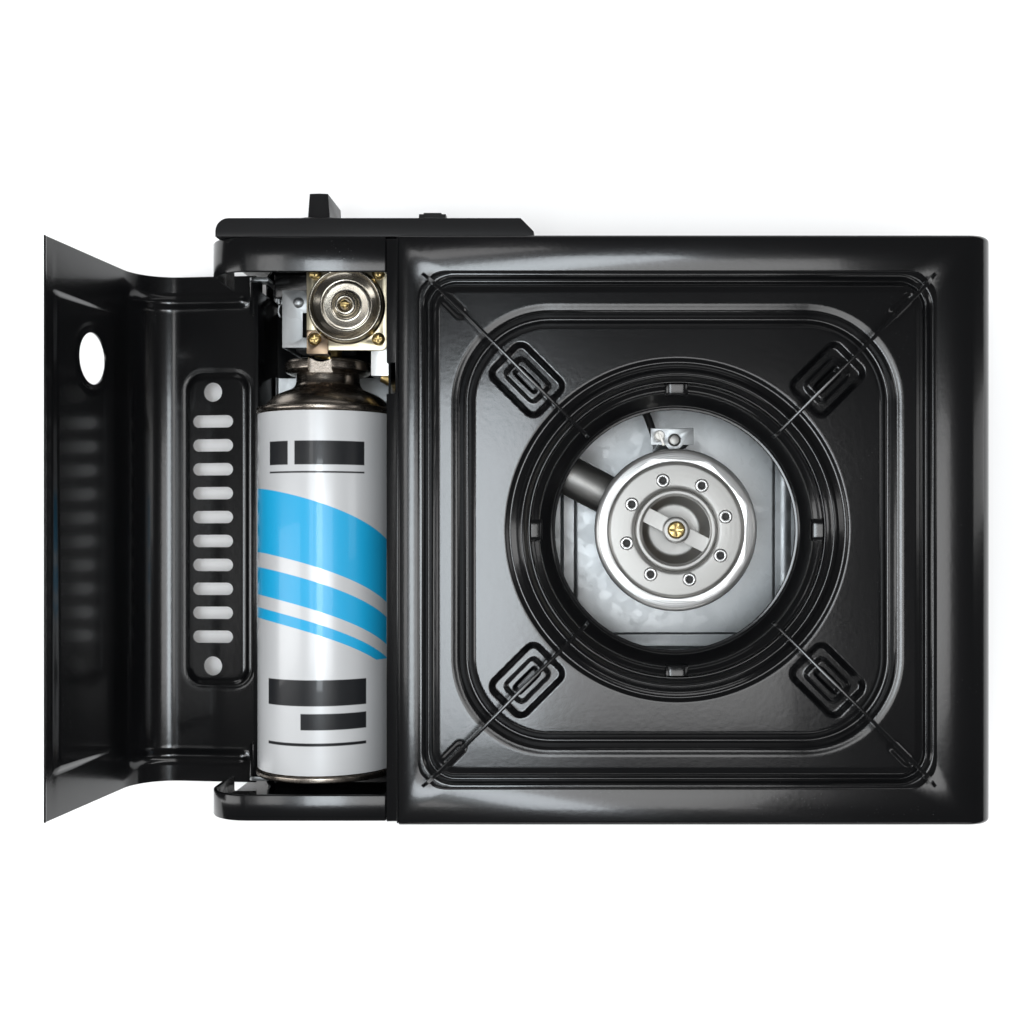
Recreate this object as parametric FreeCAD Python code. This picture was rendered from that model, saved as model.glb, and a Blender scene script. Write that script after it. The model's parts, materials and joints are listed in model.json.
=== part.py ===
"""Portable butane stove with its cartridge bay open.

The stove stands on four rubber feet.  The burner side is a pressed steel box
whose lid-like top holds a lift-out drip pan with four pot support blades.  The
cartridge bay beside it has a hinged lid, a gas regulator with a control knob,
and a lever whose push plate drives the cartridge into the regulator.

Everything is in millimetres with +Z up.  The control panel faces -Y and the
cartridge bay is on the +X side.  While it is being built the model is centred
on the burner axis; the last step moves it so that the origin lies under the
centre of its bounding box, on the surface it stands on.
"""
import FreeCAD, Part
import math
import os

V = FreeCAD.Vector
X_AXIS = V(1, 0, 0)
Y_AXIS = V(0, 1, 0)
Z_AXIS = V(0, 0, 1)

# Case
sheet = 0.8
foot_h = 6.0
foot_r = 9.0
foot_inset = 20.0
tray_wall = 12.0
case_left = -144.0
case_right = 126.0
case_half_y = 133.5
case_top = 88.0
case_skirt = 8.0
roll_r = 12.0
edge_r = 2.0
wall = 1.0
ledge_w = 6.0
ledge_drop = 3.6

# Cartridge bay
bay_right = 216.0
cap_t = 4.0
front_rim = 12.0
rear_rim = 8.0
cap_corner_r = 20.0
cap_top_drop = 4.0
bay_wall_h = 45.0
liner_z = 12.4

# Lid
lid_t = 0.8
lid_clear = 1.0
lid_top_z = 91.0
lid_short = 8.0
lid_mid_y = -0.5
lid_bottom_z = 30.0
lid_bend_r = 20.0
lid_edge_x = 124.0
lid_hem = 1.6
hinge_x = 207.0
hinge_z = 26.0
hinge_pin_r = 1.6
hinge_fit = 0.08
knuckle_r = 3.2
knuckle_len = 16.0
lid_open_deg = 96.0
slot_n = 10
slot_pitch = 12.25
slot_len = 21.4
slot_w = 6.4
slot_z = 52.4
vent_hole_r = 4.9
vent_hole_y = 70.1
vent_panel_z0 = 34.0
vent_panel_z1 = 66.0
vent_panel_y = 79.0
finger_r = 12.25
finger_x = 165.0
finger_y = -81.2

# Drip pan
pan_t = 0.8
pan_half = 117.3
pan_corner_r = 13.0
well_gap = 0.4
groove_out = 114.4
groove_in = 110.8
groove_r = 11.0
groove_depth = 2.4
channel_out = 98.6
channel_in = 91.7
channel_r = 41.0
channel_depth = 3.2
bead_r = 70.0
bead_h = 3.0
bowl_r_top = 67.0
bowl_r_low = 55.5
bowl_depth = 16.0
bowl_tab_w = 10.0
boss_at = 96.0
boss_len = 31.0
boss_w = 23.0
boss_depth = 3.0
isle_len = 20.0
isle_w = 12.0

# Pot supports
blade_t = 1.6
blade_in = 57.0
blade_out = 161.0
blade_top = 112.0
blade_foot = 8.0

# Burner
head_r = 37.3
head_seam_r = 31.3
head_top = 80.0
head_h = 11.0
port_ring_r = 23.4
port_n = 8
port_r = 2.8
port_hole_r = 1.3
port_first_deg = 150.0
centre_r = 18.8
window_r = 15.8
bar_w = 6.8
hub_r = 6.0
screw_r = 4.0
cup_r = 24.0
cup_h = 26.0
tube_r = 9.5
tube_t = 1.2
tube_z = 54.0
tube_dir_deg = -28.0
jet_len = 15.0
tube_end = 145.0
base_z = 12.0

spark_x = 7.0
spark_y = -43.9

# Regulator and knob
reg_x = 152.8
reg_half = 18.8
reg_from_face = 12.5
reg_z = 70.0
reg_h = 26.0
reg_plate_t = 1.6
cover_r = 18.0
cover_dish_r = 12.0
cover_boss_r = 5.3
cover_h = 5.0
knob_x = 167.0
knob_z = 50.0
knob_r = 19.0
knob_h = 4.8
knob_grip_w = 11.0
knob_grip_h = 15.6
knob_gap = 0.6
spindle_r = 3.0
spindle_fit = 0.08

# Front panel
panel_x0 = 65.0
panel_x1 = 210.0
panel_t = 8.5
panel_bevel = 6.0
panel_top = 84.0
panel_wall = 2.2
recess_x0 = 107.0
recess_x1 = 127.0
recess_depth = 3.0

# Lever and push plate
lever_x = 116.0
lever_w = 13.0
lever_inset = 14.5
lever_pivot_z = 34.0
lever_pin_r = 2.0
lever_fit = 0.08
lever_arm = 15.0
lever_out = 21.0
lever_plate_t = 1.5
lever_deg = 20.0
push_t = 1.5
push_h = 44.0
push_gap = 0.5

# Cartridge
can_r = 33.0
can_x = 166.3
can_z = 46.7
can_rear_gap = 17.0
can_len = 172.0
can_seam = 1.0
can_wall = 0.5
dome_len = 13.0
collar_r = 20.5
collar_t = 7.0
neck_r = 15.0
stem_r = 2.0
nose_r = 6.6
nose_bore = 4.0
nose_gap = 1.9
stem_fit = 1.2
label_t = 0.25
notch_w = 11.0
notch_depth = 4.2
tongue_w = 9.8
tongue_t = 1.5


def can_back():
    """The cartridge's rear seam, a set way in from the case's rear."""
    return case_half_y - can_rear_gap


def lever_pivot_y():
    """The lever's pivot, inside the case front."""
    return -case_half_y + lever_inset


def lever_tip_y():
    """The lever's tip, out past the control panel."""
    return -case_half_y - lever_out


def plate_ends():
    """The front and rear edges of the regulator's cover plate."""
    front = -case_half_y + cap_t + 4.5
    rear = can_front() - push_gap - tongue_t - 0.3
    return front, rear


def reg_mid_y():
    """The middle of the regulator's cover plate."""
    front, rear = plate_ends()
    return (front + rear) / 2


def box(x0, x1, y0, y1, z0, z1):
    """A block between two corners."""
    return Part.makeBox(x1 - x0, y1 - y0, z1 - z0, V(x0, y0, z0))


def rod(r, p, axis, length):
    """A solid cylinder from a point along an axis."""
    return Part.makeCylinder(r, length, V(*p), axis)


def ring(ro, ri, p, axis, length):
    """A plain tube from a point along an axis."""
    outer = rod(ro, p, axis, length)
    base = V(*p) - axis * 1.0
    return outer.cut(Part.makeCylinder(ri, length + 2.0, base, axis))


def rounded(cx, cy, hx, hy, r, z0, z1):
    """A prism over a rounded rectangle, given by half sizes and corner radius."""
    r = min(r, hx - 0.01, hy - 0.01)
    solid = Part.makeBox(2 * hx, 2 * hy, z1 - z0, V(cx - hx, cy - hy, z0))
    edges = [e for e in solid.Edges
             if abs(e.tangentAt(e.FirstParameter).z) > 0.9]
    return solid.makeFillet(r, edges)


def frame(half_out, half_in, r_out, r_in, z0, z1):
    """A square rounded band between two half sizes, about the burner axis."""
    outer = rounded(0, 0, half_out, half_out, r_out, z0, z1)
    inner = rounded(0, 0, half_in, half_in, r_in, z0 - 1, z1 + 1)
    return outer.cut(inner)


def revolve(points, centre=(0, 0, 0), axis=Z_AXIS):
    """A body of revolution from (radius, height) points round a vertical axis."""
    wire = Part.makePolygon([V(r, 0, z) for r, z in points] + [V(points[0][0], 0, points[0][1])])
    solid = Part.Face(wire).revolve(V(0, 0, 0), Z_AXIS, 360)
    if axis is not Z_AXIS:
        solid.Placement = FreeCAD.Placement(V(0, 0, 0), FreeCAD.Rotation(Z_AXIS, axis))
    solid.translate(V(*centre))
    return solid


def outline_xz(points, y0, y1):
    """A prism along Y over a polygon given in X and Z."""
    wire = Part.makePolygon([V(x, y0, z) for x, z in points] + [V(points[0][0], y0, points[0][1])])
    return Part.Face(wire).extrude(V(0, y1 - y0, 0))


def turned(shape, centre, axis, degrees):
    """A copy turned about an axis through a point."""
    out = shape.copy()
    out.rotate(V(*centre), axis, degrees)
    return out


def join(first, *others):
    """One solid from pieces that overlap."""
    out = first
    for piece in others:
        out = out.fuse(piece)
    return out.removeSplitter()


def cut(shape, *others):
    """The shape with each of the others taken away."""
    out = shape
    for piece in others:
        out = out.cut(piece)
    return out


def corners(angle0=45.0):
    """The four diagonal directions, in degrees."""
    return [angle0 + 90.0 * i for i in range(4)]


def on_diagonals(shape):
    """Four copies of a piece that lies along +X, one on each diagonal."""
    return [turned(shape, (0, 0, 0), Z_AXIS, a) for a in corners()]


def well_half():
    """Half the square hole in the case top that the pan hangs in."""
    return groove_out + pan_t + well_gap


def top_panel():
    """The pressed steel cover of the burner side, open below and to the bay."""
    block = box(case_left, case_right, -case_half_y, case_half_y, case_skirt, case_top)
    roll = [e for e in block.Edges
            if abs(e.CenterOfMass.x - case_left) < 0.1 and abs(e.CenterOfMass.z - case_top) < 0.1]
    block = block.makeFillet(roll_r, roll)
    sides = [e for e in block.Edges
             if abs(abs(e.CenterOfMass.y) - case_half_y) < 0.1 and e.CenterOfMass.z > case_top - 0.1]
    block = block.makeFillet(edge_r, sides)
    inner = box(case_left + wall, case_right + 1, -case_half_y + wall, case_half_y - wall,
                case_skirt - 1, case_top - wall)
    hollow = [e for e in inner.Edges
              if abs(e.CenterOfMass.x - case_left - wall) < 0.1
              and abs(e.CenterOfMass.z - case_top + wall) < 0.1]
    inner = inner.makeFillet(roll_r - wall, hollow)
    well = rounded(0, 0, well_half(), well_half(), groove_r + 4.0, case_top - 5, case_top + 1)
    return cut(block, inner, well)


def ledge():
    """The stepped strip on the bay side that the closed lid lies on."""
    top = case_top - ledge_drop
    x1 = case_right + ledge_w
    strip = box(case_right, x1, -case_half_y + wall, case_half_y - wall, top - sheet, top)
    riser = box(case_right, case_right + sheet, -case_half_y + wall, case_half_y - wall,
                top, case_top)
    drop = box(x1 - sheet, x1, -case_half_y + wall, case_half_y - wall, top - 9.0, top)
    bent = join(strip, riser, drop)
    notch = box(x1 - 4.0, x1 + 1, -76.0, -62.0, top - 10.0, top + 1)
    return cut(bent, notch)


def partition():
    """The wall between the burner side and the bay, with a way through for the tube."""
    x0 = case_right + ledge_w - sheet - 1.0
    top = case_top - ledge_drop - sheet
    plate = box(x0, x0 + 1.0, -case_half_y + wall + sheet, case_half_y - wall - sheet,
                foot_h + sheet, top)
    direction = math.radians(tube_dir_deg)
    reach = x0 / math.cos(direction)
    mouth = V(reach * math.cos(direction), reach * math.sin(direction), tube_z)
    way = Part.makeCylinder(tube_r + 2.5, 30.0, mouth - V(15, -15 * math.tan(-direction), 0),
                            V(math.cos(direction), math.sin(direction), 0))
    bars = box(x0 - 1, x0 + 2, can_back() - push_travel() - 2.0, can_back() + 6.0, 9.0, liner_z + 10.6)
    vents = [rounded_slot_x(x0, y, 20.0, 26.0, 4.0) for y in (-30.0, 10.0, 50.0, 90.0)]
    return cut(plate, way, bars, *vents)


def rounded_slot_x(x, y, z, length, width):
    """A slot cutter through a wall that faces X, with its length along Y."""
    body = box(x - 2, x + 3, y - length / 2 + width / 2, y + length / 2 - width / 2,
               z - width / 2, z + width / 2)
    a = rod(width / 2, (x - 2, y - length / 2 + width / 2, z), X_AXIS, 5)
    b = rod(width / 2, (x - 2, y + length / 2 - width / 2, z), X_AXIS, 5)
    return join(body, a, b)


def bottom_case():
    """The steel tray under everything, with low walls and four foot holes."""
    x0 = case_left + wall
    x1 = bay_right - 12.0
    half = case_half_y - wall
    tray = rounded((x0 + x1) / 2, 0, (x1 - x0) / 2, half, 6.0, foot_h, foot_h + tray_wall)
    hollow = rounded((x0 + x1) / 2, 0, (x1 - x0) / 2 - sheet, half - sheet, 5.2,
                     foot_h + sheet, foot_h + tray_wall + 1)
    out = cut(tray, hollow)
    for x, y in foot_places():
        out = out.cut(rod(3.0, (x, y, foot_h - 1), Z_AXIS, 4))
    for i in range(6):
        cx = -60.0 + 24.0 * i
        out = out.cut(rounded(cx, 100.0, 8.0, 2.5, 2.4, foot_h - 1, foot_h + 2))
        out = out.cut(rounded(cx, -100.0, 8.0, 2.5, 2.4, foot_h - 1, foot_h + 2))
    return out


def foot_places():
    """Where the four feet are, as X and Y."""
    xs = (case_left + foot_inset, bay_right - foot_inset)
    ys = (-case_half_y + foot_inset, case_half_y - foot_inset)
    return [(x, y) for x in xs for y in ys]


def feet():
    """Four rubber feet, each with a stem held in its hole."""
    out = []
    for x, y in foot_places():
        profile = [(0, 0), (foot_r - 1.5, 0), (foot_r, 1.5), (foot_r - 1, foot_h),
                   (3.0, foot_h), (3.0, foot_h + sheet), (4.4, foot_h + sheet),
                   (3.0, foot_h + sheet + 2.6), (0, foot_h + sheet + 2.6)]
        out.append(revolve(profile, (x, y, 0)))
    return Part.makeCompound(out)


def cap_points(inset):
    """The bay's end outline in X and Z, drawn in by an inset."""
    x0 = case_right + ledge_w + 0.2
    x1 = bay_right - inset
    z0 = foot_h + tray_wall
    z1 = case_top - cap_top_drop - inset
    r = cap_corner_r - inset
    pts = [(x0 + inset, z0 + inset), (x1, z0 + inset)]
    for i in range(9):
        a = math.radians(90.0 * i / 8)
        pts.append((x1 - r + r * math.cos(a), z1 - r + r * math.sin(a)))
    pts.append((x0 + inset, z1))
    return pts


def end_cap(back, inward, rim):
    """A bay end wall with a rim that follows the lid's inside outline."""
    flat = outline_xz(cap_points(0.0), min(back, back + inward * cap_t),
                      max(back, back + inward * cap_t))
    tip = back + inward * (cap_t + rim)
    rim_out = outline_xz(cap_points(0.0), min(back, tip), max(back, tip))
    lo = min(back + inward * cap_t, tip + inward)
    hi = max(back + inward * cap_t, tip + inward)
    rim_in = outline_xz(cap_points(1.6), lo, hi)
    return join(flat, cut(rim_out, rim_in))


def front_end_cap():
    """The bay's front end wall, with the knob's way through and the lid's notch."""
    cap = end_cap(-case_half_y, 1, front_rim)
    hole = rod(spindle_r + 6.0, (knob_x, -case_half_y, knob_z), Y_AXIS, 20)
    guard = corner_guard(-case_half_y, lid_mid_y - lid_len() / 2 - 0.9)
    return cut(join(cap, guard), hole, hinge_relief())


def rear_end_cap():
    """The bay's rear end wall, with a step where it meets the burner side."""
    cap = end_cap(case_half_y - 1.0, -1, rear_rim)
    guard = corner_guard(lid_mid_y + lid_len() / 2 + 0.9, case_half_y - 1.0)
    return cut(join(cap, guard), hinge_relief())


def hinge_relief():
    """Room for the lid's hinge and bend at the lower outer corner."""
    return box(hinge_x - knuckle_r - 4.2, bay_right + 1, lid_mid_y - lid_len() / 2 - 0.9,
               lid_mid_y + lid_len() / 2 + 0.9, foot_h, hinge_z + knuckle_r + 8.0)


def corner_guard(y0, y1):
    """A lower corner of an end wall, outside the lid's end and beside the tray."""
    return box(bay_right - 11.6, bay_right, y0, y1, foot_h + 0.3, hinge_z + knuckle_r + 10.0)


def bay_liner():
    """The galvanised trough that the cartridge lies in."""
    x0 = case_right + ledge_w + 1.0
    x1 = bay_right - 16.0
    y0 = can_front() + 3.5
    y1 = can_back() - 2.5
    floor = box(x0, x1, y0, y1, liner_z - sheet, liner_z)
    lip = box(x1 - sheet, x1, y0, y1, liner_z - sheet, liner_z + 3.0)
    legs = [box(x0 + 2, x1 - 9, y, y + 8.0, foot_h + sheet, liner_z - sheet)
            for y in (y0 + 10.0, y1 - 24.0)]
    body = join(floor, lip, *legs)
    slots = [rounded((x0 + x1) / 2, y, 5.0, 20.0, 4.9, liner_z - 2, liner_z + 1)
             for y in (-30.0, 40.0)]
    return cut(body, *slots)


def bay_wall():
    """The outer side wall of the bay, inside the lid."""
    x0 = bay_right - 15.2
    y0 = -case_half_y + cap_t + front_rim + 0.5
    y1 = case_half_y - 1.0 - cap_t - rear_rim - 0.5
    wall_plate = box(x0, x0 + 1.0, y0, y1, foot_h + sheet, bay_wall_h)
    turned_edge = box(x0, x0 + 2.2, y0, y1, bay_wall_h - 1.0, bay_wall_h)
    foot = box(x0 - 8.0, x0 + 0.5, y0, y1, foot_h + sheet, foot_h + 2 * sheet)
    stems = [rod(5.0, (x, y, foot_h), Z_AXIS, 6.0) for x, y in foot_places()]
    return cut(join(wall_plate, turned_edge, foot), *stems)


def lid_len():
    """The lid's length along Y, a little under the case's depth."""
    return 2 * case_half_y - lid_short


def lid_profile(offset):
    """The closed lid's outline in X and Z from the side panel's foot to the edge."""
    x1 = bay_right + lid_clear + lid_t - offset
    z1 = lid_top_z - offset
    r = lid_bend_r + lid_t - offset
    pts = [(x1, lid_bottom_z)]
    for i in range(9):
        a = math.radians(90.0 * i / 8)
        pts.append((x1 - r + r * math.cos(a), z1 - r + r * math.sin(a)))
    pts.append((lid_edge_x, z1))
    return pts


def lid():
    """The bay lid as it lies open: an L of sheet with slots, holes and ribs."""
    y0 = lid_mid_y - lid_len() / 2
    y1 = lid_mid_y + lid_len() / 2
    shell = outline_xz(lid_profile(0.0) + lid_profile(lid_t)[::-1], y0, y1)
    x1 = bay_right + lid_clear + lid_t
    for y in (y0 + 12.0, y1 - 13.0):
        rib = rod(2.0, (x1 - lid_t, y, lid_bottom_z + 6.0), Z_AXIS, 36.0)
        rib = rib.cut(box(x1 - 6, x1 - lid_t + 0.01, y - 3, y + 3, lid_bottom_z, 90))
        shell = shell.fuse(rib)
    half_z = (vent_panel_z1 - vent_panel_z0) / 2
    mid_z = (vent_panel_z1 + vent_panel_z0) / 2
    window = plate_x(x1 - 3, x1 + 3, lid_mid_y, mid_z, vent_panel_y - lid_t, half_z - lid_t, 7.2)
    sunk = plate_x(x1 - 2 * lid_t, x1 - lid_t, lid_mid_y, mid_z, vent_panel_y, half_z, 8.0)
    shell = shell.cut(window).fuse(sunk)
    for i in range(slot_n):
        y = lid_mid_y + (i - (slot_n - 1) / 2) * slot_pitch
        shell = shell.cut(plate_x(x1 - 4, x1 + 3, y, slot_z, slot_w / 2, slot_len / 2,
                                  slot_w / 2 - 0.05))
    for side in (-1, 1):
        shell = shell.cut(rod(vent_hole_r, (x1 - 5, lid_mid_y + side * vent_hole_y, slot_z),
                              X_AXIS, 10))
    shell = shell.cut(rod(finger_r, (finger_x, finger_y, lid_top_z - 4), Z_AXIS, 8))
    hem = box(lid_edge_x, lid_edge_x + 5.0, y0, y1, lid_top_z - 2 * lid_t, lid_top_z - lid_t)
    shell = shell.fuse(hem)
    for y in hinge_places():
        leaf = box(hinge_x, x1, y, y + knuckle_len, lid_bottom_z, lid_bottom_z + 1.0)
        web = box(hinge_x - 0.6, hinge_x + 0.6, y, y + knuckle_len, hinge_z, lid_bottom_z + 1.0)
        barrel = rod(knuckle_r, (hinge_x, y, hinge_z), Y_AXIS, knuckle_len)
        shell = shell.fuse(join(leaf, web, barrel))
        shell = shell.cut(rod(hinge_pin_r + hinge_fit, (hinge_x, y - 1, hinge_z), Y_AXIS,
                              knuckle_len + 2))
    shell = shell.removeSplitter()
    return turned(shell, (hinge_x, 0, hinge_z), Y_AXIS, lid_open_deg)


def hinge_places():
    """Where each lid knuckle starts along Y."""
    return (lid_mid_y - lid_len() / 2 + 6.0, lid_mid_y + lid_len() / 2 - 6.0 - knuckle_len)


def hinge_pins():
    """Two hinge pins, each standing in a bracket that rises from the tray."""
    out = []
    for y in hinge_places():
        outer = -1 if y < 0 else 1
        side = y - 0.4 - 2.0 if outer < 0 else y + knuckle_len + 0.4
        x0 = hinge_x - knuckle_r - 3.8
        low = box(x0, x0 + 3.1, side, side + 2.0, foot_h + sheet, hinge_z)
        high = box(x0, hinge_x, side, side + 2.0, hinge_z - 6.0, hinge_z + 3.0)
        ear = join(low, high, rod(3.0, (hinge_x, side, hinge_z), Y_AXIS, 2.0))
        start = side if outer < 0 else y + 1.0
        pin = rod(hinge_pin_r, (hinge_x, start, hinge_z), Y_AXIS, knuckle_len + 1.4)
        out.append(join(ear, pin))
    return Part.makeCompound(out)


def plate_x(x0, x1, cy, cz, half_y, half_z, r):
    """A rounded plate that faces X."""
    flat = rounded(0, 0, half_z, half_y, r, 0, x1 - x0)
    flat.rotate(V(0, 0, 0), Y_AXIS, 90)
    flat.translate(V(x0, cy, cz))
    return flat


def sunk(plate, outline, floor_z, z_top):
    """The plate with a sunk shape pressed into it; outline(grow, z0, z1) is its solid."""
    skin = outline(pan_t, floor_z - pan_t, z_top).cut(outline(0.0, floor_z, z_top + 1))
    return plate.cut(outline(0.0, floor_z, z_top + 1)).fuse(skin)


def boss_outline(angle):
    """Makes the outline of the sunk boss on one diagonal."""
    def outline(grow, z0, z1):
        block = rounded(boss_at, 0, boss_len / 2 + grow, boss_w / 2 + grow, 6.0 + grow, z0, z1)
        return turned(block, (0, 0, 0), Z_AXIS, angle)
    return outline


def drip_pan():
    """The lift-out pan: rim, groove, square channel, round bead and four bosses."""
    z = case_top + pan_t
    out = rounded(0, 0, pan_half, pan_half, pan_corner_r, case_top, z)

    def groove(grow, z0, z1):
        return frame(groove_out + grow, groove_in - grow, groove_r + 3.0, groove_r, z0, z1)

    def channel(grow, z0, z1):
        return frame(channel_out + grow, channel_in - grow, channel_r + grow,
                     channel_r - 6.0 - grow, z0, z1)

    out = sunk(out, groove, z - groove_depth, z)
    out = sunk(out, channel, z - channel_depth, z)
    for angle in corners():
        out = sunk(out, boss_outline(angle), z - boss_depth, z)
        isle = rounded(boss_at, 0, isle_len / 2, isle_w / 2, 3.0, z - boss_depth - pan_t,
                       isle_top())
        under = rounded(boss_at, 0, isle_len / 2 - pan_t, isle_w / 2 - pan_t, 2.2,
                        z - boss_depth - pan_t - 1, isle_top() - pan_t)
        slot = box(boss_at - lug_half - 0.6, boss_at + lug_half + 0.6,
                   -blade_t / 2 - 0.2, blade_t / 2 + 0.2, z - 10, z + 1)
        floor_cut = turned(join(under, slot), (0, 0, 0), Z_AXIS, angle)
        out = out.fuse(turned(isle, (0, 0, 0), Z_AXIS, angle)).cut(floor_cut)
    out = out.cut(rod(bead_r + 3.5 - 0.01, (0, 0, case_top - 8), Z_AXIS, 20))
    bead = [(bead_r + 3.5, case_top), (bead_r + 3.5, z), (bead_r + 2.6, z),
            (bead_r + 1.6, z + bead_h - 0.6), (bead_r, z + bead_h),
            (bead_r - 1.6, z + bead_h - 0.6), (bead_r - 2.6, z - 1.0),
            (bead_r - 2.6, z - 4.0), (bead_r - 1.8, z - 4.0), (bead_r - 1.8, z - 1.4),
            (bead_r - 1.0, z + bead_h - 1.4), (bead_r, z + bead_h - pan_t),
            (bead_r + 1.0, z + bead_h - 1.4), (bead_r + 2.0, case_top)]
    return join(out, revolve(bead))


def isle_top():
    """The height of the four islands that the blades stand on."""
    return case_top + pan_t - boss_depth + 1.6


lug_half = 5.0


def pan_bowl():
    """The bowl inside the bead, down to its round opening, with four tabs on its rim."""
    z = case_top + pan_t
    r1 = bowl_r_top + 0.4
    skin = [(r1, z - 4.0), (r1, z - 1.6), (r1 - pan_t, z - 1.6), (r1 - pan_t, z - 4.6),
            (r1 - 4.0, z - 6.2), (bowl_r_low + 2.0, z - bowl_depth + 1.2),
            (bowl_r_low, z - bowl_depth + 1.2), (bowl_r_low, z - bowl_depth + 0.4),
            (bowl_r_low + 2.6, z - bowl_depth + 0.4), (r1 - 3.2, z - 6.8),
            (r1 - 0.6, z - 5.4)]
    out = revolve(skin)
    for i in range(4):
        tab = box(r1 - 5.6, r1 - 0.4, -bowl_tab_w / 2, bowl_tab_w / 2, z - 5.4, z - 2.2)
        tab = tab.cut(box(r1 - 5.0, r1 - 1.2, -bowl_tab_w / 2 - 1, bowl_tab_w / 2 + 1,
                          z - 6.4, z - 3.0))
        out = out.fuse(turned(tab, (0, 0, 0), Z_AXIS, 90.0 * i))
    return out.removeSplitter()


def pot_support(angle):
    """One upright blade on a diagonal, with a foot and a lug through the pan."""
    foot_z = isle_top()
    rest_z = case_top + pan_t
    span = [(blade_in, blade_top - 7.0), (blade_in + 1.6, blade_top - 1.2),
            (blade_in + 3.4, blade_top), (blade_out - 13.0, blade_top),
            (blade_out - 9.0, blade_top - 1.6), (blade_out, blade_top - 14.0),
            (blade_out, rest_z), (blade_out - 4.0, rest_z), (blade_out - 5.0, blade_top - 13.5),
            (blade_out - 15.0, blade_top - blade_foot), (boss_at + 16.0, blade_top - blade_foot),
            (boss_at + 12.0, blade_top - 13.0), (boss_at + 9.0, foot_z),
            (boss_at + lug_half, foot_z), (boss_at + lug_half, foot_z - 4.4),
            (boss_at - lug_half, foot_z - 4.4), (boss_at - lug_half, foot_z),
            (boss_at - 9.0, foot_z), (boss_at - 12.0, blade_top - 13.0),
            (boss_at - 16.0, blade_top - blade_foot), (blade_in + 5.0, blade_top - blade_foot)]
    blade = outline_xz(span, -blade_t / 2, blade_t / 2)
    return turned(blade, (0, 0, 0), Z_AXIS, angle)


def base_plate():
    """The galvanised plate under the burner, with turned-up sides."""
    half_x = 49.0
    y0 = -62.0
    y1 = 49.0
    plate = box(-half_x, half_x, y0, y1, base_z, base_z + sheet)
    round_end = [e for e in plate.Edges
                 if abs(e.tangentAt(e.FirstParameter).z) > 0.9 and e.CenterOfMass.y > 0]
    plate = plate.makeFillet(12.0, round_end)
    ribs = [box(side * half_x - (4.0 if side > 0 else 0), side * half_x + (0 if side > 0 else 4.0),
                y0, y1 - 14.0, foot_h + sheet, base_z + sheet) for side in (-1, 1)]
    legs = [box(-half_x + 8, half_x - 8, y, y + 3.0, foot_h + sheet, base_z + sheet)
            for y in (y0, 20.0)]
    body = join(plate, *(ribs + legs))
    dimple = rod(2.6, (-30.0, -30.0, base_z - 1), Z_AXIS, 3)
    hole = rod(2.6, (33.0, 30.0, base_z - 1), Z_AXIS, 3)
    return cut(body, dimple, hole)


def burner_bracket():
    """The bent strap that carries the burner cup on the base plate."""
    z1 = cup_bottom()
    top = rounded(0, 0, 16.0, 12.0, 4.0, z1 - 1.2, z1)
    legs = [box(side * 15.0 - 0.6, side * 15.0 + 0.6, -10.0, 10.0, base_z + sheet, z1 - 0.6)
            for side in (-1, 1)]
    feet_out = [box(min(side * 15.0, side * 24.0), max(side * 15.0, side * 24.0), -10.0, 10.0,
                    base_z + sheet, base_z + sheet + 1.2) for side in (-1, 1)]
    return join(top, *(legs + feet_out))


def bracket_rivets():
    """Two domed rivets that hold the strap on the base plate."""
    z = base_z + sheet + 1.2
    profile = [(0, z), (3.2, z), (2.6, z + 1.0), (1.4, z + 1.6), (0, z + 1.7)]
    return Part.makeCompound([revolve(profile, (side * 20.0, 0, 0)) for side in (-1, 1)])


def cup_bottom():
    """The underside of the burner cup."""
    return head_top - head_h - cup_h


def tube_axis():
    """The mixing tube's direction and the point where it leaves the burner axis."""
    a = math.radians(tube_dir_deg)
    return V(math.cos(a), math.sin(a), 0), V(0, 0, tube_z)


def burner_cup():
    """The pressed cup under the burner head, with a side socket for the mixing tube."""
    z0 = cup_bottom()
    z1 = head_top - head_h
    wall_t = 1.2
    cup = [(0, z0), (cup_r - 5.0, z0), (cup_r - 1.0, z0 + 4.0), (cup_r, z1 - 6.0),
           (head_r - 1.0, z1), (head_r - 1.0 - wall_t, z1 + 0.0), (head_r - 4.4, z1 - 0.0),
           (cup_r - wall_t, z1 - 5.0), (cup_r - 1.0 - wall_t, z0 + 4.6),
           (cup_r - 5.6, z0 + wall_t), (0, z0 + wall_t)]
    out = revolve(cup)
    direction, start = tube_axis()
    socket = Part.makeCylinder(tube_r + 1.6, 12.0, start + direction * (cup_r - 6.0), direction)
    bore = Part.makeCylinder(tube_r + 0.05, 24.0, start + direction * (cup_r - 12.0), direction)
    keep = revolve([(0, z0 + wall_t), (cup_r - 2.2, z0 + wall_t), (cup_r - 1.4, z1 - 5.0), (0, z1 - 5.0)])
    socket = socket.cut(keep)
    return cut(join(out, socket), bore)


def burner_head():
    """The cast aluminium ring round the flame plate."""
    z0 = head_top - head_h
    ring_profile = [(head_seam_r + 0.1, z0), (head_r, z0), (head_r, head_top - 1.6),
                    (head_r - 1.2, head_top - 0.4), (head_r - 2.4, head_top),
                    (head_seam_r + 0.1, head_top)]
    out = revolve(ring_profile)
    for i in range(36):
        port = box(head_r - 1.0, head_r + 1, -0.8, 0.8, z0 + 4.0, z0 + 6.4)
        out = out.cut(turned(port, (0, 0, 0), Z_AXIS, 10.0 * i))
    return out


def port_places():
    """The port angles round the flame plate, in degrees."""
    return [port_first_deg + 360.0 * i / port_n for i in range(port_n)]


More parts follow.
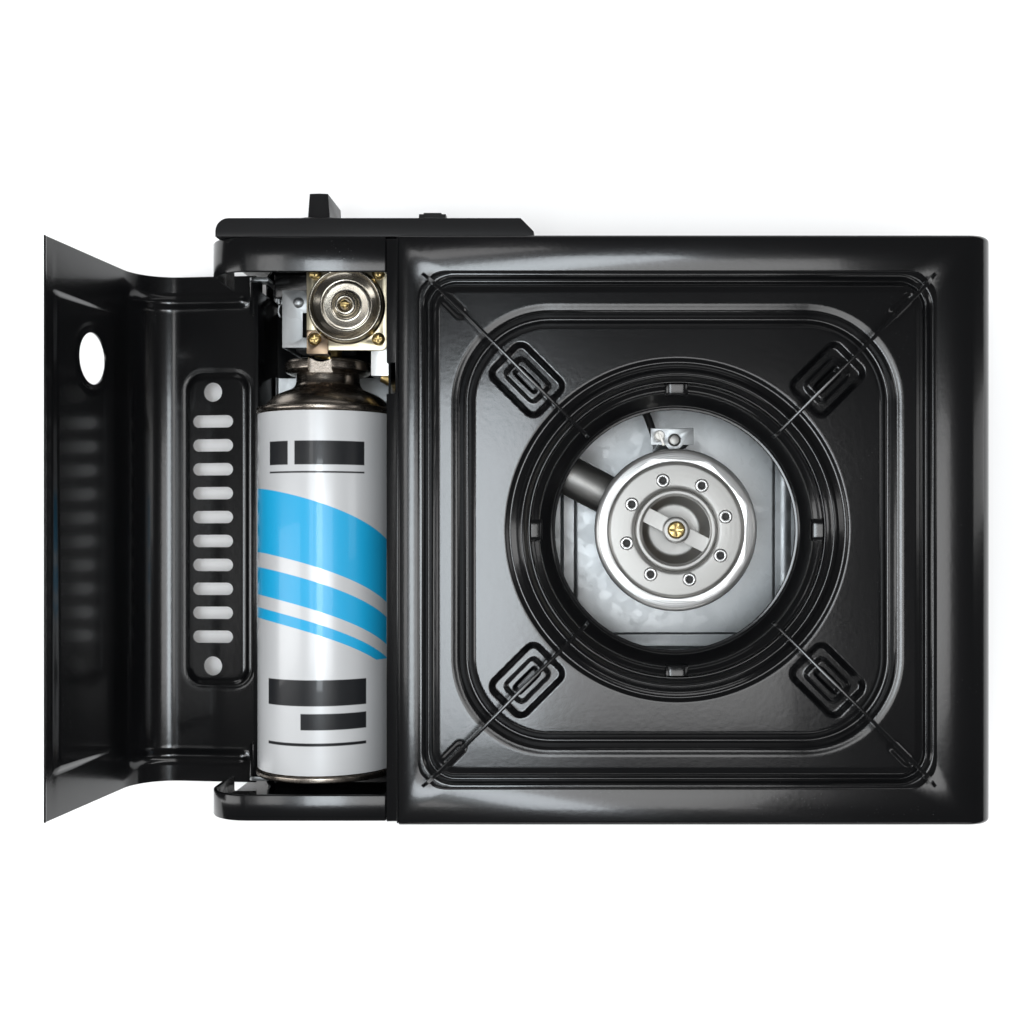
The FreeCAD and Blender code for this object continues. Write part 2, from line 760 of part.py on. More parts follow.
def flame_plate():
    """The stainless plate with eight holes for the eyelets and a stepped centre."""
    z = head_top
    profile = [(centre_r + 0.15, z - 1.0), (head_seam_r, z - 1.0), (head_seam_r, z - 0.4),
               (head_seam_r - 1.2, z + 0.4), (centre_r + 1.5, z + 0.4), (centre_r + 0.15, z - 0.2)]
    out = revolve(profile)
    for a in port_places():
        hole = rod(port_r - 0.7, (port_ring_r, 0, z - 3), Z_AXIS, 6)
        out = out.cut(turned(hole, (0, 0, 0), Z_AXIS, a))
    return out


def port_eyelets():
    """Eight raised eyelets set into the flame plate."""
    z = head_top + 0.4
    profile = [(port_hole_r, z - 3.0), (port_r - 0.75, z - 3.0), (port_r - 0.75, z),
               (port_r, z), (port_r, z + 0.8), (port_r - 0.5, z + 1.3), (port_hole_r, z + 1.3)]
    eyelet = revolve(profile, (port_ring_r, 0, 0))
    return Part.makeCompound([turned(eyelet, (0, 0, 0), Z_AXIS, a) for a in port_places()])


def centre_disc():
    """The disc in the middle of the head, with two windows either side of a bar."""
    z = head_top + 0.2
    disc = revolve([(screw_r - 1.4, z - 1.2), (centre_r, z - 1.2), (centre_r, z - 0.2),
                    (centre_r - 0.6, z + 0.6), (screw_r - 1.4, z + 0.6)])
    cutter = ring(window_r, hub_r, (0, 0, z - 3), Z_AXIS, 6)
    bar = box(-centre_r, centre_r, -bar_w / 2, bar_w / 2, z - 4, z + 4)
    cutter = cutter.cut(turned(bar, (0, 0, 0), Z_AXIS, tube_dir_deg + 1.0))
    return disc.cut(cutter)


def centre_screw():
    """The brass screw in the middle of the burner, down to the cup's floor."""
    z = head_top + 0.8
    body = revolve([(0, cup_bottom() + 1.2), (screw_r - 1.5, cup_bottom() + 1.2),
                    (screw_r - 1.5, z), (screw_r, z), (screw_r, z + 1.6), (screw_r - 0.8, z + 2.6),
                    (0, z + 2.8)])
    slot = box(-screw_r, screw_r, -0.5, 0.5, z + 1.6, z + 4)
    cross = box(-0.5, 0.5, -screw_r, screw_r, z + 1.6, z + 4)
    keep = ring(9.0, screw_r - 1.0, (0, 0, z + 1), Z_AXIS, 5)
    return body.cut(join(slot, cross).cut(keep))


def mixing_tube():
    """The mixing tube from the burner cup to the regulator, with a flared mouth."""
    direction, start = tube_axis()
    length = tube_end - (cup_r - 2.0)
    profile = [(tube_r - tube_t, 0), (tube_r, 0), (tube_r, length - 10.0),
               (tube_r - 2.0, length - 5.0), (tube_r - 2.0, length),
               (tube_r - 2.0 - tube_t, length), (tube_r - 2.0 - tube_t, length - 5.4),
               (tube_r - tube_t, length - 10.4)]
    out = revolve(profile)
    hole = rod(2.4, (0, 0, length - 16.0), Y_AXIS, 20)
    out = out.cut(hole)
    out.Placement = FreeCAD.Placement(start + direction * (cup_r - 2.0),
                                      FreeCAD.Rotation(Z_AXIS, direction))
    return out


def igniter_bracket():
    """The small strap beside the burner head that carries the electrode."""
    post = box(-7.0, 7.0, -41.0, -39.8, base_z + sheet, 68.0)
    top = box(-9.0, 11.0, -47.6, -39.8, 68.0, 69.0)
    foot = box(-7.0, 7.0, -50.0, -39.8, base_z + sheet, base_z + sheet + 1.0)
    eye = rod(4.6, (0.0, -42.0, 68.0), Z_AXIS, 1.0)
    body = join(post, top, foot, eye)
    return cut(body, rod(2.6, (spark_x, spark_y, 60.0), Z_AXIS, 12), rod(1.6, (0, -42.0, 60.0), Z_AXIS, 12))


def igniter_screw():
    """The screw that holds the strap's top."""
    return revolve([(0, 65.0), (1.5, 65.0), (1.5, 69.0), (3.0, 69.0), (3.0, 70.0), (2.2, 71.0),
                    (0, 71.3)], (0.0, -42.0, 0))


def electrode():
    """The white ceramic with its spark wire bent towards the flame ports."""
    ceramic = revolve([(0, 52.0), (2.2, 52.0), (2.55, 53.0), (2.55, 70.0), (1.9, 72.6), (0, 72.6)],
                      (spark_x, spark_y, 0))
    wire = rod(0.6, (spark_x, spark_y, 70.0), Z_AXIS, 5.0)
    tip = rod(0.6, (spark_x, spark_y, 75.0), V(-0.35, 1.0, 0.15).normalize(), 5.2)
    joint = Part.makeSphere(0.6, V(spark_x, spark_y, 75.0))
    return join(ceramic, wire, tip, joint)


lead_r = 1.9
lead_points = [(158.0, -92.0, 24.0), (144.0, -92.0, 24.0), (112.0, -90.0, 25.0),
               (76.0, -80.0, 31.0), (44.0, -77.0, 42.0), (22.0, -69.0, 45.0),
               (12.0, -59.0, 38.0), (8.0, -48.5, 34.5), (spark_x, spark_y, 41.0),
               (spark_x, spark_y, 52.0)]


def routed_tube(points, radius, label):
    """A round cord along straight runs joined by tangent arcs; prints the radii."""
    pts = [V(*p) for p in points]
    edges = []
    start = pts[0]
    radii = []
    for i in range(1, len(pts) - 1):
        a = (pts[i - 1] - pts[i])
        b = (pts[i + 1] - pts[i])
        reach = 0.45 * min(a.Length, b.Length)
        turn = math.pi - a.getAngle(b)
        a.normalize()
        b.normalize()
        p1 = pts[i] + a * reach
        p3 = pts[i] + b * reach
        bend = reach / math.tan(turn / 2)
        radii.append(round(bend, 1))
        half = (a + b).normalize()
        centre = pts[i] + half * (bend / math.cos(turn / 2))
        mid = centre - half * bend
        edges.append(Part.LineSegment(start, p1).toShape())
        edges.append(Part.Arc(p1, mid, p3).toShape())
        start = p3
    edges.append(Part.LineSegment(start, pts[-1]).toShape())
    path = Part.Wire(edges)
    circle = Part.Circle(pts[0], pts[1] - pts[0], radius).toShape()
    tube = path.makePipeShell([Part.Wire([circle])], True, False)
    want = math.pi * radius * radius * path.Length
    print(label, "radii", radii, "length", round(path.Length, 1),
          "volume ratio", round(tube.Volume / want, 4))
    return tube


def ignition_lead():
    """The black lead from the igniter through the partition to the electrode."""
    return routed_tube(lead_points, lead_r, "ignition lead")


def igniter():
    """The piezo igniter block under the regulator, on its own foot."""
    y0 = -case_half_y + cap_t + front_rim + 0.3
    y1 = reg_back() - 1.0
    block = box(158.0, 186.0, y0, y1, 15.0, 33.0)
    upright = [e for e in block.Edges if abs(e.tangentAt(e.FirstParameter).y) > 0.9]
    block = block.makeFillet(3.0, upright)
    foot = box(160.0, 184.0, y0 + 2.0, y1 - 2.0, foot_h + sheet, 15.0)
    return join(block, foot)


def regulator_body():
    """The cast regulator with its spindle boss, inlet boss and jet arm."""
    x0 = reg_x - reg_half
    x1 = reg_x + reg_half
    back = reg_back()
    z1 = reg_z - reg_plate_t
    core = box(x0 + 1.0, x1 - 1.0, -case_half_y + reg_from_face, back, z1 - reg_h, z1)
    upright = [e for e in core.Edges if abs(e.tangentAt(e.FirstParameter).z) > 0.9]
    core = core.makeFillet(4.0, upright)
    face = -case_half_y + reg_from_face
    spindle_boss = rod(6.5, (knob_x, face - 5.0, knob_z), Y_AXIS, 18.0)
    inlet = rod(6.5, (can_x, back - 14.0, can_z), Y_AXIS, 14.0)
    direction, start = tube_axis()
    near = start + direction * (tube_end + 2.0)
    arm = box(x0 + 0.4, x0 + 9.4, back - 6.0, near.y - 4.4, tube_z - 5.0, tube_z + 5.0)
    body = join(core, spindle_boss, inlet, arm)
    bore = rod(spindle_r + spindle_fit, (knob_x, face - 9.0, knob_z), Y_AXIS, 20.0)
    seat = rod(stem_r + stem_fit, (can_x, can_front(), can_z), V(0, -1, 0), 16.0)
    jet_way = Part.makeCylinder(3.0, jet_len + 0.5, start + direction * (tube_end - 3.0), direction)
    return cut(body, bore, seat, jet_way)


def inlet_ring():
    """The ring round the regulator's inlet, which the cartridge's stem passes through."""
    return ring(nose_r, nose_bore, (can_x, reg_back(), can_z), Y_AXIS,
                can_front() - nose_gap - reg_back())


def reg_back():
    """The regulator's rear face, clear of the collar when the cartridge is pushed in."""
    return can_back() - can_len - dome_len - 6.0 - collar_t - push_travel() - 1.5


def push_travel():
    """How far the push plate moves when the lever is pressed fully down."""
    return lever_arm * math.sin(math.radians(lever_deg))


def jet():
    """The brass jet that points into the mixing tube's mouth."""
    direction, start = tube_axis()
    profile = [(0.3, 0), (1.6, 0), (3.0, 3.0), (3.0, jet_len), (0.3, jet_len)]
    out = revolve(profile)
    out.Placement = FreeCAD.Placement(start + direction * (tube_end - 3.0),
                                      FreeCAD.Rotation(Z_AXIS, direction))
    return out


def regulator_plate():
    """The square plated cover on the regulator, with four screw holes."""
    y0, y1 = plate_ends()
    plate = rounded(reg_x, (y0 + y1) / 2, reg_half, (y1 - y0) / 2, 3.0, reg_z - reg_plate_t, reg_z)
    for x, y in reg_screw_places():
        plate = plate.cut(rod(1.5, (x, y, reg_z - 4), Z_AXIS, 8))
    return plate


def reg_screw_places():
    """The four corner screws of the regulator cover."""
    d = reg_half - 4.0
    return [(reg_x + sx * d, reg_mid_y() + sy * (d + 0.6)) for sx in (-1, 1) for sy in (-1, 1)]


def regulator_screws():
    """Four round-headed screws in the cover's corners."""
    z = reg_z
    out = []
    for x, y in reg_screw_places():
        profile = [(0, z - 1.6), (1.45, z - 1.6), (1.45, z), (3.0, z), (3.0, z + 0.7),
                   (2.0, z + 1.6), (0, z + 1.9)]
        head = revolve(profile, (x, y, 0))
        cross = join(box(x - 1.6, x + 1.6, y - 0.35, y + 0.35, z + 1.0, z + 3),
                     box(x - 0.35, x + 0.35, y - 1.6, y + 1.6, z + 1.0, z + 3))
        out.append(head.cut(cross))
    return Part.makeCompound(out)


def diaphragm_cover():
    """The domed diaphragm cover with its dish and centre boss."""
    z = reg_z
    profile = [(0, z), (cover_r, z), (cover_r, z + 0.8), (cover_r - 1.6, z + 1.2),
               (cover_r - 3.4, z + cover_h), (cover_dish_r, z + cover_h + 0.6),
               (cover_dish_r - 3.0, z + cover_h - 1.8), (cover_boss_r, z + cover_h - 2.4),
               (cover_boss_r - 0.6, z + cover_h - 0.4), (2.2, z + cover_h), (0, z + cover_h)]
    return revolve(profile, (reg_x, reg_mid_y(), 0))


def cover_screw():
    """The copper-coloured adjuster in the middle of the cover."""
    z = reg_z + cover_h
    body = revolve([(0, z), (2.0, z), (2.0, z + 0.9), (1.4, z + 1.4), (0, z + 1.5)],
                   (reg_x, reg_mid_y(), 0))
    return body.cut(box(reg_x - 2, reg_x + 2, reg_mid_y() - 0.3, reg_mid_y() + 0.3, z + 0.8, z + 3))


def alignment_tongue():
    """The steel tongue that hooks down in front of the cartridge collar's notch."""
    tip = can_front() - push_gap
    flap = box(can_x - tongue_w / 2, can_x + tongue_w / 2, tip - 11.0, tip, reg_z, reg_z + tongue_t)
    lip = box(can_x - tongue_w / 2, can_x + tongue_w / 2, tip - tongue_t, tip,
              can_z + collar_r - notch_depth + 0.8, reg_z + tongue_t)
    keep = rod(cover_r + 0.2, (reg_x, reg_mid_y(), reg_z - 1), Z_AXIS, 20)
    screws = [rod(3.2, (x, y, reg_z - 1), Z_AXIS, 20) for x, y in reg_screw_places()]
    return cut(join(flap, lip), keep, *screws)


def can_front():
    """The front face of the cartridge's collar at rest."""
    return can_back() - can_len - dome_len - 6.0 - collar_t


def regulator_bracket():
    """The galvanised bracket beside the regulator, down to the tray."""
    x0 = reg_x + reg_half + 0.2
    y0 = -case_half_y + cap_t + front_rim + 0.3
    y1 = reg_back() - 1.0
    top = box(x0 - 6.0, x0 + 18.0, y0, y1, reg_z - reg_plate_t - reg_h - 1.0,
              reg_z - reg_plate_t - reg_h)
    leg = box(x0 + 17.0, x0 + 18.0, y0, y1, foot_h + sheet, reg_z - reg_plate_t - reg_h)
    z = reg_z - reg_plate_t - reg_h
    head = revolve([(0, z - 0.2), (2.6, z - 0.2), (2.4, z + 0.8), (1.4, z + 1.5), (0, z + 1.7)],
                   (x0 + 10.0, y0 + 6.0, 0))
    slit = box(x0 + 6.0, x0 + 8.0, y0 + 11.0, y1 - 5.0, 30, 50)
    nose = rod(6.6, (can_x, y0 - 2.0, can_z), Y_AXIS, y1 - y0 + 4.0)
    boss = rod(6.6, (knob_x, y0 - 2.0, knob_z), Y_AXIS, y1 - y0 + 4.0)
    return cut(join(top, leg, head), slit, nose, boss)


def front_panel():
    """The moulded control panel with the lever's recess and slot."""
    y0 = -case_half_y - panel_t
    y1 = -case_half_y
    pts = [(panel_x0, y1), (panel_x0, y1 - 2.4), (panel_x0 + panel_bevel, y0)]
    r = 6.0
    for i in range(7):
        a = math.radians(-90.0 + 90.0 * i / 6)
        pts.append((panel_x1 - r + r * math.cos(a), y0 + r + r * math.sin(a)))
    pts.append((panel_x1, y1))
    z0 = case_skirt + 4.0
    solid = plan(pts, z0, panel_top)
    inner = plan([(panel_x0 + panel_bevel + 2.0, y1 + 1), (panel_x0 + panel_bevel + 2.0, y0 + panel_wall),
                  (panel_x1 - r, y0 + panel_wall), (panel_x1 - r, y1 + 1)],
                 z0 + panel_wall, panel_top - panel_wall)
    recess_back = box(recess_x0 - 2, recess_x1 + 2, y0 + recess_depth, y0 + recess_depth + panel_wall,
                      lever_pivot_z - 20, lever_pivot_z + 26)
    recess = rounded_front(lever_x + 1.0, lever_pivot_z + 3.0, (recess_x1 - recess_x0) / 2, 19.0,
                           y0 - 1, y0 + recess_depth)
    slot = box(lever_x - lever_w / 2 - 0.7, lever_x + lever_w / 2 + 0.7, y0 - 1, y1 + 1,
               lever_pivot_z - 12.0, lever_pivot_z + 15.0)
    knob_way = rod(spindle_r + 2.0, (knob_x, y0 - 1, knob_z), Y_AXIS, panel_t + 2)
    dial_seat = ring(knob_r + 2.4, knob_r + 1.0, (knob_x, y0 - 0.1, knob_z), Y_AXIS, 0.7)
    foot = box(panel_x0 + 20, panel_x1 - 20, y0 + 3, y1, case_skirt, z0 + 1)
    return cut(join(cut(solid, inner), recess_back, foot), recess, slot, knob_way, dial_seat)


def plan(points, z0, z1):
    """A prism along Z over a polygon given in X and Y."""
    wire = Part.makePolygon([V(x, y, z0) for x, y in points] + [V(points[0][0], points[0][1], z0)])
    return Part.Face(wire).extrude(V(0, 0, z1 - z0))


def rounded_front(cx, cz, half_x, half_z, y0, y1):
    """A rounded block that faces Y."""
    flat = rounded(0, 0, half_x, half_z, 4.0, 0, y1 - y0)
    flat.rotate(V(0, 0, 0), X_AXIS, 90)
    flat.translate(V(cx, y1, cz))
    return flat


def lever_slot_cut():
    """The way through the case front for the lever."""
    return box(lever_x - lever_w / 2 - 0.7, lever_x + lever_w / 2 + 0.7, -case_half_y - 1,
               -case_half_y + wall + 1, lever_pivot_z - 12.0, lever_pivot_z + 16.0)


def knob():
    """The control knob: a flared dial, a tapered grip bar and its spindle."""
    y = -case_half_y - panel_t - knob_gap
    profile = [(0, 0), (knob_r, 0), (knob_r, 2.0), (knob_r - 2.4, 4.4), (knob_r - 4.0, knob_h),
               (0, knob_h)]
    dial = revolve(profile, (knob_x, y, knob_z), V(0, -1, 0))
    half = knob_r - 3.6
    grip_pts = [(-knob_grip_w / 2, 0), (knob_grip_w / 2, 0), (knob_grip_w / 2 - 1.2, knob_grip_h),
                (-knob_grip_w / 2 + 1.2, knob_grip_h)]
    wire = Part.makePolygon([V(knob_x + x, y - h, knob_z - half) for x, h in grip_pts]
                            + [V(knob_x + grip_pts[0][0], y, knob_z - half)])
    grip = Part.Face(wire).extrude(V(0, 0, 2 * half))
    bound = rod(half, (knob_x, y + 1, knob_z), V(0, -1, 0), knob_grip_h + 3)
    shaft = rod(spindle_r, (knob_x, y - 2.0, knob_z), Y_AXIS,
                -case_half_y + reg_from_face + 9.5 - y + 2.0)
    return join(dial, grip.common(bound), shaft)


def knob_pointer():
    """The raised mark set on the grip's end."""
    y = -case_half_y - panel_t - knob_gap - knob_grip_h
    return box(knob_x - 0.8, knob_x + 0.8, y - 0.5, y, knob_z + 2.0, knob_z + knob_r - 5.0)


def lock_lever():
    """The lever plate with its moulded tip, pivot eye and upright crank."""
    x0 = lever_x - lever_plate_t / 2
    x1 = lever_x + lever_plate_t / 2
    y = lever_pivot_y()
    z = lever_pivot_z
    pts = [(y + 5.0, z - 5.0), (y + 5.0, z + lever_arm), (y + 3.0, z + lever_arm + 4.0),
           (y - 3.0, z + lever_arm + 4.0), (y - 4.5, z + 8.0), (lever_tip_y() + 6.0, z + 8.0),
           (lever_tip_y() + 6.0, z + 2.0), (y - 4.0, z - 5.0)]
    wire = Part.makePolygon([V(x0, a, b) for a, b in pts] + [V(x0, pts[0][0], pts[0][1])])
    plate = Part.Face(wire).extrude(V(x1 - x0, 0, 0))
    pin = rod(lever_pin_r, (x1 - 0.5, y, z + lever_arm), X_AXIS, 4.0)
    eye = rod(lever_pin_r + lever_fit, (x0 - 1, y, z), X_AXIS, lever_plate_t + 2)
    return cut(join(plate, pin), eye)


def lever_tip():
    """The moulded thumb piece over the lever's end."""
    z = lever_pivot_z
    half = lever_w / 2
    pts = [(lever_tip_y() + 9.0, z + 1.0), (lever_tip_y() + 9.0, z + 9.0), (lever_tip_y() + 2.4, z + 12.0),
           (lever_tip_y(), z + 10.8), (lever_tip_y(), z + 7.0), (lever_tip_y() + 3.4, z + 1.0)]
    wire = Part.makePolygon([V(lever_x - half, a, b) for a, b in pts]
                            + [V(lever_x - half, pts[0][0], pts[0][1])])
    tip = Part.Face(wire).extrude(V(2 * half, 0, 0))
    grooves = [box(lever_x - half - 1, lever_x - half + 2.2, lever_tip_y() - 1, lever_tip_y() + 0.7,
                   z, z + 20),
               box(lever_x + half - 2.2, lever_x + half + 1, lever_tip_y() - 1, lever_tip_y() + 0.7,
                   z, z + 20)]
    return cut(tip, *(grooves + [lock_lever()]))


def lever_bracket():
    """The bracket on the tray with the pin that the lever turns on."""
    y = lever_pivot_y()
    x0 = lever_x - lever_plate_t / 2 - 1.6
    ear = box(x0 - 1.2, x0, y - 5.0, y + 9.0, foot_h + sheet, lever_pivot_z + 4.0)
    foot = box(x0 - 9.0, x0, y - 5.0, y + 9.0, foot_h + sheet, foot_h + sheet + 1.0)
    pin = rod(lever_pin_r, (x0 - 2.2, y, lever_pivot_z), X_AXIS, lever_plate_t + 4.0)
    collar = ring(lever_pin_r + 1.4, lever_pin_r - 0.1, (x0, y, lever_pivot_z), X_AXIS, 1.3)
    return join(ear, foot, pin, collar)


def push_plate():
    """The sliding bar with its slotted tab at the lever and its plate behind the cartridge."""
    x0 = lever_x + lever_plate_t / 2 + 0.5
    z0 = liner_z + 1.6
    y1 = can_back() + push_gap + push_t
    strip = box(x0, x0 + push_t, lever_pivot_y() - 4.0, y1, z0, z0 + 6.0)
    tab = box(x0, x0 + push_t, lever_pivot_y() - 4.0, lever_pivot_y() + 7.0, z0,
              lever_pivot_z + lever_arm + 7.0)
    slot = box(x0 - 1, x0 + push_t + 1, lever_pivot_y() - lever_pin_r - lever_fit - 0.1,
               lever_pivot_y() + lever_pin_r + lever_fit + 0.1,
               lever_pivot_z + lever_arm - 4.6, lever_pivot_z + lever_arm + 3.4)
    cross = box(x0, can_x + 26.0, y1 - push_t, y1, z0, z0 + 6.0)
    pusher = rounded(0, 0, 25.0, push_h / 2, 6.0, 0, push_t)
    pusher.rotate(V(0, 0, 0), X_AXIS, 90)
    pusher.translate(V(can_x, y1, z0 + push_h / 2))
    return cut(join(strip, tab, cross, pusher), slot)


def push_guides():
    """Two folded guides on the tray that carry the sliding bar."""
    x0 = lever_x + lever_plate_t / 2 + 0.5
    z0 = liner_z + 1.6
    out = []
    for y in (-70.0, 60.0):
        block = box(x0 - 1.6, x0 + push_t + 1.6, y, y + 14.0, foot_h + sheet, z0 + 4.0)
        gap = box(x0 - 0.3, x0 + push_t + 0.3, y - 1, y + 15.0, z0 - 0.3, z0 + 5.0)
        out.append(block.cut(gap))
    return Part.makeCompound(out)


def on_can_axis(points):
    """A body of revolution on the cartridge's axis, from (radius, distance from its base)."""
    return revolve(points, (can_x, can_back(), can_z), V(0, -1, 0))


def canister_body():
    """The cartridge's drawn shell."""
    return on_can_axis([(can_r - can_wall, 3.2), (can_r, 3.2), (can_r, can_len),
                        (can_r - can_wall, can_len)])


def canister_base():
    """The dished base with its rolled seam."""
    seam = can_r + can_seam - 0.1
    return on_can_axis([(0, 6.6), (0, 5.2), (20.0, 4.6), (can_r - 3.5, 1.0), (can_r - 2.0, 0),
                        (seam - 0.4, 0), (seam, 0.6), (seam, 2.4), (can_r, 3.1),
                        (can_r - 2.2, 3.1), (20.6, 6.2)])


def canister_dome():
    """The domed top with its seam and short neck."""
    s = can_len
    seam = can_r + can_seam - 0.1
    return on_can_axis([(can_r - 1.0, s), (can_r, s), (seam, s + 0.7), (seam, s + 2.6),
                        (can_r - 0.4, s + 3.2), (can_r - 1.6, s + 2.6), (can_r - 3.6, s + 4.2),
                        (can_r - 7.0, s + 7.2), (can_r - 11.0, s + 9.8), (neck_r + 1.8, s + 12.2),
                        (neck_r, s + dome_len), (neck_r, s + dome_len + 6.0),
                        (0, s + dome_len + 6.0), (0, s + dome_len + 5.2),
                        (neck_r - 0.8, s + dome_len + 5.2), (neck_r - 0.8, s + 12.4),
                        (neck_r + 1.4, s + 11.2), (can_r - 11.4, s + 8.8),
                        (can_r - 7.6, s + 6.2), (can_r - 4.2, s + 3.2), (can_r - 2.2, s + 1.4)])


def canister_collar():
    """The valve collar with the notch that the tongue enters."""
    s = can_len + dome_len + 6.0
    cup = on_can_axis([(0, s), (collar_r - 3.0, s), (collar_r, s + 1.8), (collar_r, s + 5.6),
                       (collar_r - 1.4, s + collar_t), (collar_r - 3.4, s + collar_t),
                       (collar_r - 5.0, s + 3.6), (collar_r - 7.0, s + 1.2), (0, s + 1.2)])
    y = can_front()
    notch = box(can_x - notch_w / 2, can_x + notch_w / 2, y - 1, y + collar_t + 1,
                can_z + collar_r - notch_depth, can_z + collar_r + 1)
    return cup.cut(notch)


def canister_stem():
    """The valve stem that enters the regulator."""
    s = can_len + dome_len + 6.0
    return on_can_axis([(0, s + 1.2), (3.4, s + 1.2), (3.4, s + 1.5), (stem_r, s + 2.1),
                        (stem_r, s + collar_t), (0.8, s + collar_t), (0.8, s + 4.0), (0, s + 4.0)])


def canister_label():
    """The printed sleeve round the shell."""
    return ring(can_r + label_t, can_r + 0.02, (can_x, can_back() - 8.0, can_z), V(0, -1, 0), can_len - 17.0)


def cut_top_panel():
    """The case top with the lever's way through its front."""
    return cut(top_panel(), lever_slot_cut())


def cut_partition():
    """The partition with the lead's hole."""
    return cut(partition(), rod(lead_r + 1.4, (120.0, -91.0, 24.6), X_AXIS, 20.0))


def pieces():
    """Every piece by name, in the burner-centred frame."""
    out = {
        "top_panel": cut_top_panel(),
        "ledge": ledge(),
        "partition": cut_partition(),
        "bottom_case": bottom_case(),
        "feet": feet(),
        "front_end_cap": front_end_cap(),
        "rear_end_cap": rear_end_cap(),
        "bay_liner": bay_liner(),
        "bay_wall": bay_wall(),
        "hinge_pins": hinge_pins(),
        "base_plate": base_plate(),
        "burner_bracket": burner_bracket(),
        "bracket_rivets": bracket_rivets(),
        "burner_cup": burner_cup(),
        "burner_head": burner_head(),
        "flame_plate": flame_plate(),
        "port_eyelets": port_eyelets(),
        "centre_disc": centre_disc(),
        "centre_screw": centre_screw(),
        "mixing_tube": mixing_tube(),
        "igniter_bracket": igniter_bracket(),
        "igniter_screw": igniter_screw(),
        "electrode": electrode(),
        "ignition_lead": ignition_lead(),
        "igniter": igniter(),
        "regulator_body": regulator_body(),
        "inlet_ring": inlet_ring(),
        "jet": jet(),
        "regulator_plate": regulator_plate(),
        "regulator_screws": regulator_screws(),
        "diaphragm_cover": diaphragm_cover(),
        "cover_screw": cover_screw(),
        "alignment_tongue": alignment_tongue(),
        "regulator_bracket": regulator_bracket(),
        "front_panel": front_panel(),
        "lever_bracket": lever_bracket(),
        "push_guides": push_guides(),
        "lid": lid(),
        "drip_pan": drip_pan(),
        "pan_bowl": pan_bowl(),
        "knob": knob(),
        "knob_pointer": knob_pointer(),
        "lock_lever": lock_lever(),
        "lever_tip": lever_tip(),
        "push_plate": push_plate(),
        "canister_body": canister_body(),
        "canister_base": canister_base(),
        "canister_dome": canister_dome(),
        "canister_collar": canister_collar(),
        "canister_stem": canister_stem(),
        "canister_label": canister_label(),
    }
    for i, angle in enumerate(corners()):
        out["pot_support_%d" % (i + 1)] = pot_support(angle)
    return out


def main():
    """Builds every piece, moves the origin under the box's centre and writes the files."""
    os.makedirs("parts", exist_ok=True)
    made = pieces()
    whole = FreeCAD.BoundBox()
    for shape in made.values():
        whole.add(shape.optimalBoundingBox(False))
    shift = V(-(whole.XMin + whole.XMax) / 2, -(whole.YMin + whole.YMax) / 2, -whole.ZMin)
    print("shift", round(shift.x, 3), round(shift.y, 3), round(shift.z, 3))
    for name, shape in made.items():
        if not shape.isValid() or not shape.Solids:
            print("check", name, shape.isValid(), len(shape.Solids))
        moved = shape.copy()
        moved.translate(shift)
        moved.exportStep("parts/%s.step" % name)
    print(len(made), "pieces")


main()
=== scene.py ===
"""Dresses a portable butane stove with its cartridge bay open, as a Blender add-on run as a script.

Lengths are metres in the object's own frame: +Z up, the control panel on -Y, the bay on +X.
Numbers in the shapes are millimetres, measured from the burner's axis, which stands at BURNER.
"""
import json
import math

import bmesh
import bpy
import numpy as np
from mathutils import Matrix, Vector

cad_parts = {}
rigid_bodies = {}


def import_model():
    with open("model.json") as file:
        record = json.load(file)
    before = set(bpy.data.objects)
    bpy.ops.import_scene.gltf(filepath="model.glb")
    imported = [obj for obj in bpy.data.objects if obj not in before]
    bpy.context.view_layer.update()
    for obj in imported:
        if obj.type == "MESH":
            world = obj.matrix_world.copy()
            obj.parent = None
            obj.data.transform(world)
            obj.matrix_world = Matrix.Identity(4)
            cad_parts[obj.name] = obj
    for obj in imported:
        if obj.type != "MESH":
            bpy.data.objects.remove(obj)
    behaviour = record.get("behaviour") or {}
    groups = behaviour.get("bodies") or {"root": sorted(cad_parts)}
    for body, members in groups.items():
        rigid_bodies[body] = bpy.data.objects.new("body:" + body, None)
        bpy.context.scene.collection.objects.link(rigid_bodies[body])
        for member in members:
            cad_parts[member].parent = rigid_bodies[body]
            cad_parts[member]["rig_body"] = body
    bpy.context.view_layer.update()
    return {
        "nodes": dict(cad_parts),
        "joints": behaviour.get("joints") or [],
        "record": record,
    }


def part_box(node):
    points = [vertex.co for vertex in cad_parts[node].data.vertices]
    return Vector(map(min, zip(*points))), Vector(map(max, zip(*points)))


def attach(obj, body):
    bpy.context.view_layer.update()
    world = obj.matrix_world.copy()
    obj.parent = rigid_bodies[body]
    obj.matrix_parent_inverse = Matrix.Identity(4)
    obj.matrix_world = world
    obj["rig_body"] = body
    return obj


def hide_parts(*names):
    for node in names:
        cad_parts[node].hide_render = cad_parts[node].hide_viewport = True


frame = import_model()

bl_info = {
    "name": "Portable stove",
    "version": (1, 0, 0),
    "blender": (4, 5, 0),
    "location": "View3D > Sidebar > Stove",
    "description": "Enamel, metal and print for a portable butane stove and its studio",
    "category": "Object",
}

MM = 0.001


def middle(node):
    """The centre of a node's box."""
    low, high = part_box(node)
    return (low + high) / 2


BURNER = middle("burner_head")
CAN = middle("canister_body")
PAN_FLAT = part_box("drip_pan")[1].z - 0.003
HINGE = next(j for j in frame["joints"] if j["name"] == "lid_hinge")["pos_m"]

# The pan: its bowl's radius, and the half size and corner radius of its outline
BOWL_R = 67.4
PAN_HALF, PAN_CORNER = 117.3, 13.0
# The burner: its top, and the raised field under it as centre, half sizes and corner radius
HEAD_TOP = 80.0
PLATE_FIELD = (-4.5, -8.0, 52.4, 62.4, 17.0)
